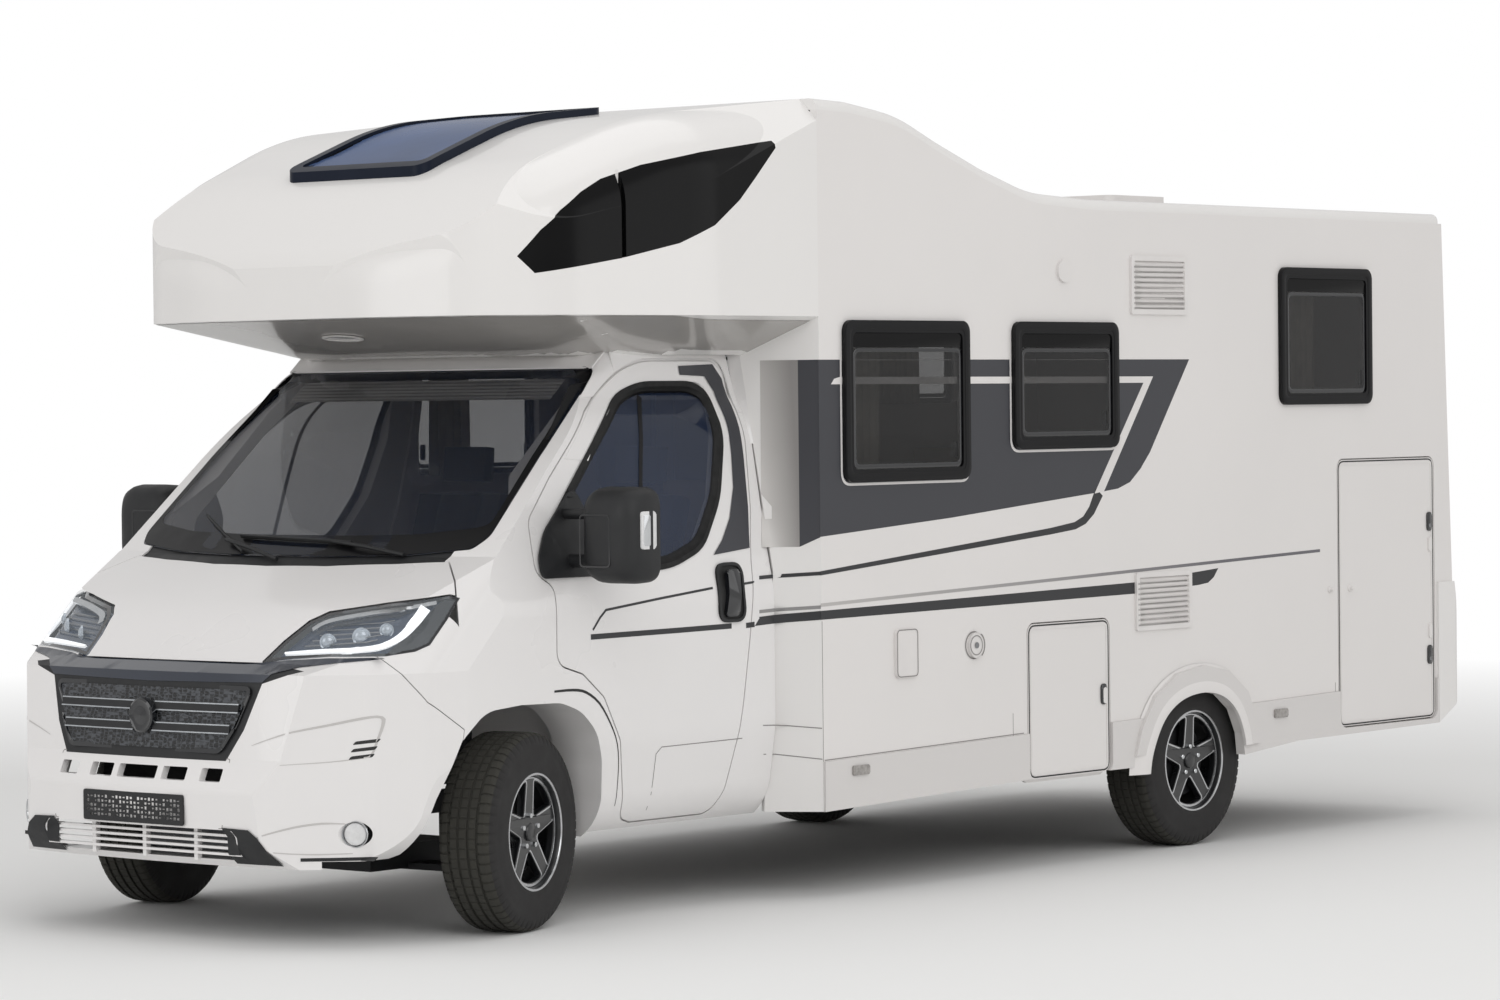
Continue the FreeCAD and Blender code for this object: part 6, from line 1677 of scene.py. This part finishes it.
ARCH_SHARES = [(0.0, -0.30), (0.0, 0.16), (0.06, 0.48), (0.17, 0.76), (0.34, 0.94), (0.56, 1.0), (0.76, 0.93),
               (0.90, 0.74), (0.98, 0.45), (1.0, 0.16), (1.0, -0.30)]


def arch_flare(end, side):
    # the smooth lip round the rear wheel's opening
    points = spread(ARCH_SHARES, 3.592, 4.311, 0.300, 0.662)
    inner = curved(shifted_outline(points, -0.009), 5)
    outer = curved(shifted_outline(points, 0.112), 5)
    bm = bmesh.new()
    rows = []
    for t in (-0.06, 0.0, 0.10, 0.25, 0.5, 0.75, 0.9, 1.0):
        row = []
        for a, b in zip(inner, outer):
            s = max(0.0, t)
            x = BODY_HALF + 0.003 + 0.0275 * (1 - s * s) if t >= 0 else BODY_HALF + 0.012
            if t == 0.0:
                x -= 0.004
            y = a[0] + (b[0] - a[0]) * s
            z = max(a[1] + (b[1] - a[1]) * s, 0.336 if y < 4.0 else 0.412)
            row.append(bm.verts.new((x, y - MID, z)))
        rows.append(row)
    for low, high in zip(rows, rows[1:]):
        for i in range(len(low) - 1):
            bm.faces.new((low[i], low[i + 1], high[i + 1], high[i]))
    bmesh.ops.remove_doubles(bm, verts=bm.verts, dist=0.0005)
    obj = from_bmesh("arch_flare_%s" % end, bm, "wall_white", "vehicle")
    if sum(f.normal.x for f in obj.data.polygons) < 0:
        obj.data.flip_normals()
    mirrored(side, obj)


def rear_details():
    target = ["wall_rear", "rear_bumper", "tail_lamps"]
    plate = box_outline(-0.262, 0.262, 0.554, 0.662, 0.010, 3)
    decal("rear_plate", plate, "rear", target, "plate", "vehicle", lift=0.0009, step=0.02)
    ring_decal("rear_plate_rim", shifted_outline(plate, 0.007), shifted_outline(plate, -0.003), "rear",
               target,
               "gloss_black", "vehicle", lift=0.0012, rows=1)
    decal("high_lamp", box_outline(-0.160, 0.160, 2.470, 2.500, 0.010, 3), "rear", target, "lens_red",
          "vehicle",
          lift=0.010, step=0.2, thick=-0.010)
    for sign, tag in ((1, "left"), (-1, "right")):
        low_u, high_u = sorted((sign * 0.930, sign * 1.010))
        decal("rear_reflector_%s" % tag, box_outline(low_u, high_u, 0.470, 0.505, 0.006, 3), "rear",
              ["rear_bumper"],
              "lens_red", "vehicle", lift=0.0015, step=0.2)
    seam = [(-1.100, 0.930), (1.100, 0.930)]
    decal("rear_joint", ribbon(seam, 0.004), "rear", ["wall_rear"], "seam", "vehicle", lift=0.0006, step=0.4)


# the scoops' edges, drawn as lines of painted shade
SCOOP_SHADE_LINES = [([(0.530, 0.712), (0.600, 0.735), (0.701, 0.764), (0.792, 0.786), (0.883, 0.809), (0.922, 0.811),
            (0.924, 0.780), (0.914, 0.730), (0.902, 0.682), (0.880, 0.670), (0.791, 0.657), (0.664, 0.648)],
           [0.002, 0.004, 0.006, 0.008, 0.009, 0.008, 0.006, 0.005, 0.005, 0.004, 0.003, 0.002], "crease"),
          ([(0.560, 0.380), (0.620, 0.404), (0.700, 0.430), (0.771, 0.442), (0.832, 0.440)],
           [0.002, 0.005, 0.007, 0.007, 0.003], "crease"),
          ([(0.590, 0.350), (0.680, 0.338), (0.760, 0.334), (0.851, 0.336)], [0.002, 0.004, 0.005, 0.003],
           "crease")]


def bumper_forms():
    # painted shade along the edges of the scoops beside the grille and round the fog lamps, where the bumper
    # itself has no relief
    for sign, tag in ((1, "left"), (-1, "right")):
        for k, (points, widths, material) in enumerate(SCOOP_SHADE_LINES):
            line = curved([(sign * u, v) for u, v in points], 3)
            decal("scoop_%d_%s" % (k, tag), ribbon(line, spaced(widths, 3)), "y",
                  ["front_bumper", "cab_shell"],
                  material, "vehicle", lift=0.0008, step=0.03)
        line = [(sign * u, v) for u, v in ((0.715, 0.316), (0.800, 0.316), (0.930, 0.318))]
        decal("bumper_foot_%s" % tag, ribbon(line, 0.012), "y", ["front_bumper"], "plastic", "vehicle",
              lift=0.001,
              step=0.03)


# studio

# the studio: a pale floor, a white world, four soft lamps and the camera of the photo
FLOOR_HALF = 160.0
FLOOR_DROP = 0.0005
LAMPS = (("key", (11.0, -9.0, 8.5), (0.0, 0.0, 1.2), 9.0, 430.0),
         ("front", (-3.0, -14.0, 5.0), (0.0, -2.0, 1.2), 7.0, 190.0),
         ("side", (12.0, 5.0, 4.5), (0.0, 1.5, 1.4), 8.0, 130.0),
         ("top", (0.0, 0.0, 11.0), (0.0, 0.0, 0.0), 10.0, 220.0))
CAMERA_X, CAMERA_Y, CAMERA_Z = 12.542, -12.336, 1.907
CAMERA_YAW, CAMERA_PITCH, CAMERA_ROLL = 40.32, 1.22, -0.63
CAMERA_LENS, CAMERA_SENSOR, CAMERA_FAR = 112.87, 36.0, 500


def studio_floor():
    bm = bmesh.new()
    bm.faces.new([bm.verts.new((FLOOR_HALF * a, FLOOR_HALF * b, 0))
                  for a, b in ((-1, -1), (1, -1), (1, 1), (-1, 1))])
    mesh = mesh_from(bm, "studio_floor")
    mesh.materials.append(M["floor_pale"])
    floor = linked("studio_floor", mesh)
    floor.location.z = -FLOOR_DROP


def studio_world():
    world = bpy.data.worlds.new("studio")
    bpy.context.scene.world = world
    world.use_nodes = True
    tree = world.node_tree
    tree.nodes.clear()
    out = tree.nodes.new("ShaderNodeOutputWorld")
    soft = new_node(tree, "ShaderNodeBackground", Color=(0.985, 0.978, 0.975, 1), Strength=0.62)
    white = new_node(tree, "ShaderNodeBackground", Color=(1, 1, 1, 1), Strength=1.0)
    path = tree.nodes.new("ShaderNodeLightPath")
    seen_by = tree.nodes.new("ShaderNodeMath")
    seen_by.operation = "MAXIMUM"
    mix = tree.nodes.new("ShaderNodeMixShader")
    tree.links.new(path.outputs["Is Camera Ray"], seen_by.inputs[0])
    tree.links.new(path.outputs["Is Transmission Ray"], seen_by.inputs[1])
    tree.links.new(seen_by.outputs["Value"], mix.inputs["Fac"])
    tree.links.new(soft.outputs["Background"], mix.inputs[1])
    tree.links.new(white.outputs["Background"], mix.inputs[2])
    tree.links.new(mix.outputs["Shader"], out.inputs["Surface"])


def studio_lights():
    for name, place, aim, wide, power in LAMPS:
        data = bpy.data.lights.new(name, "AREA")
        data.shape = "SQUARE"
        data.size = wide
        data.energy = power
        lamp = linked(name, data)
        lamp.location = place
        lamp.rotation_euler = (Vector(aim) - Vector(place)).to_track_quat("-Z", "Y").to_euler()


def studio_camera():
    yaw, pitch, roll = (math.radians(turn) for turn in (CAMERA_YAW, CAMERA_PITCH, CAMERA_ROLL))
    forward = Vector((-math.sin(yaw) * math.cos(pitch), math.cos(yaw) * math.cos(pitch), -math.sin(pitch)))
    right = Vector((math.cos(yaw), math.sin(yaw), 0))
    up = right.cross(forward)
    across = right * math.cos(roll) + up * math.sin(roll)
    above = up * math.cos(roll) - right * math.sin(roll)
    data = bpy.data.cameras.new("camera")
    data.sensor_width = CAMERA_SENSOR
    data.lens = CAMERA_LENS
    data.clip_end = CAMERA_FAR
    camera = linked("camera", data)
    turn = Matrix((across, above, -forward)).transposed().to_4x4()
    camera.matrix_world = Matrix.Translation(Vector((CAMERA_X, CAMERA_Y - MID, CAMERA_Z))) @ turn
    bpy.context.scene.camera = camera
    bpy.context.scene.view_settings.view_transform = "Standard"


wheels()
side_decor("left", 1, [LOUNGE, KITCHEN], None)
side_decor("right", -1, [LOUNGE], "entry_leaf")
for (end, side), (middle_name, middle_size) in zip(SIDES, (("kitchen", KITCHEN), ("washroom", WASHROOM))):
    window_details(end, side, "lounge", LOUNGE, [(1.70, 1.93, "a")])
    window_details(end, side, middle_name, middle_size, [])
    window_details(end, side, "bed", BED, [(4.66, 4.97, "a")])
headlamps()
grille_details()
front_plate()
bumper_details()
wiper("wiper_near", (0.598, 1.352), (0.240, 1.392), (-0.270, 1.410), (0.330, 1.392))
wiper("wiper_far", (0.020, 1.330), (-0.330, 1.392), (-0.560, 1.480), (-0.190, 1.352))
cab_crown()
cab_seats()
alcove_underside()
bumper_forms()
window_divider()
skylight_glass()
screen_blind()
nose_bar()
lower_trim()
screen_border()
mirrors()
for end, side in SIDES:
    side_details(end, side)
lock("garage_lock_high", 5.800, 1.326, "garage_leaf")
lock("garage_lock_low", 5.800, 0.726, "garage_leaf")
lock("service_lock", 3.303, 0.684, "service_leaf")
outline_ring("garage_ring", GARAGE, -0.004, 0.006, 0.046, "seam_dark", "garage_leaf")
outline_ring("garage_bead", GARAGE, -0.014, 0.010, 0.038, "trim_white", "garage_leaf", 0.0022)
outline_ring("service_ring", SERVICE, -0.004, 0.006, 0.046, "seam_dark", "service_leaf")
outline_ring("service_bead", SERVICE, -0.014, 0.010, 0.038, "trim_white", "service_leaf", 0.0022)
rear_details()
for end, side in SIDES:
    door_decor(end, side, "door_" + end)
    door_furniture(end, side, "door_" + end)
studio_floor()
studio_world()
studio_lights()
studio_camera()
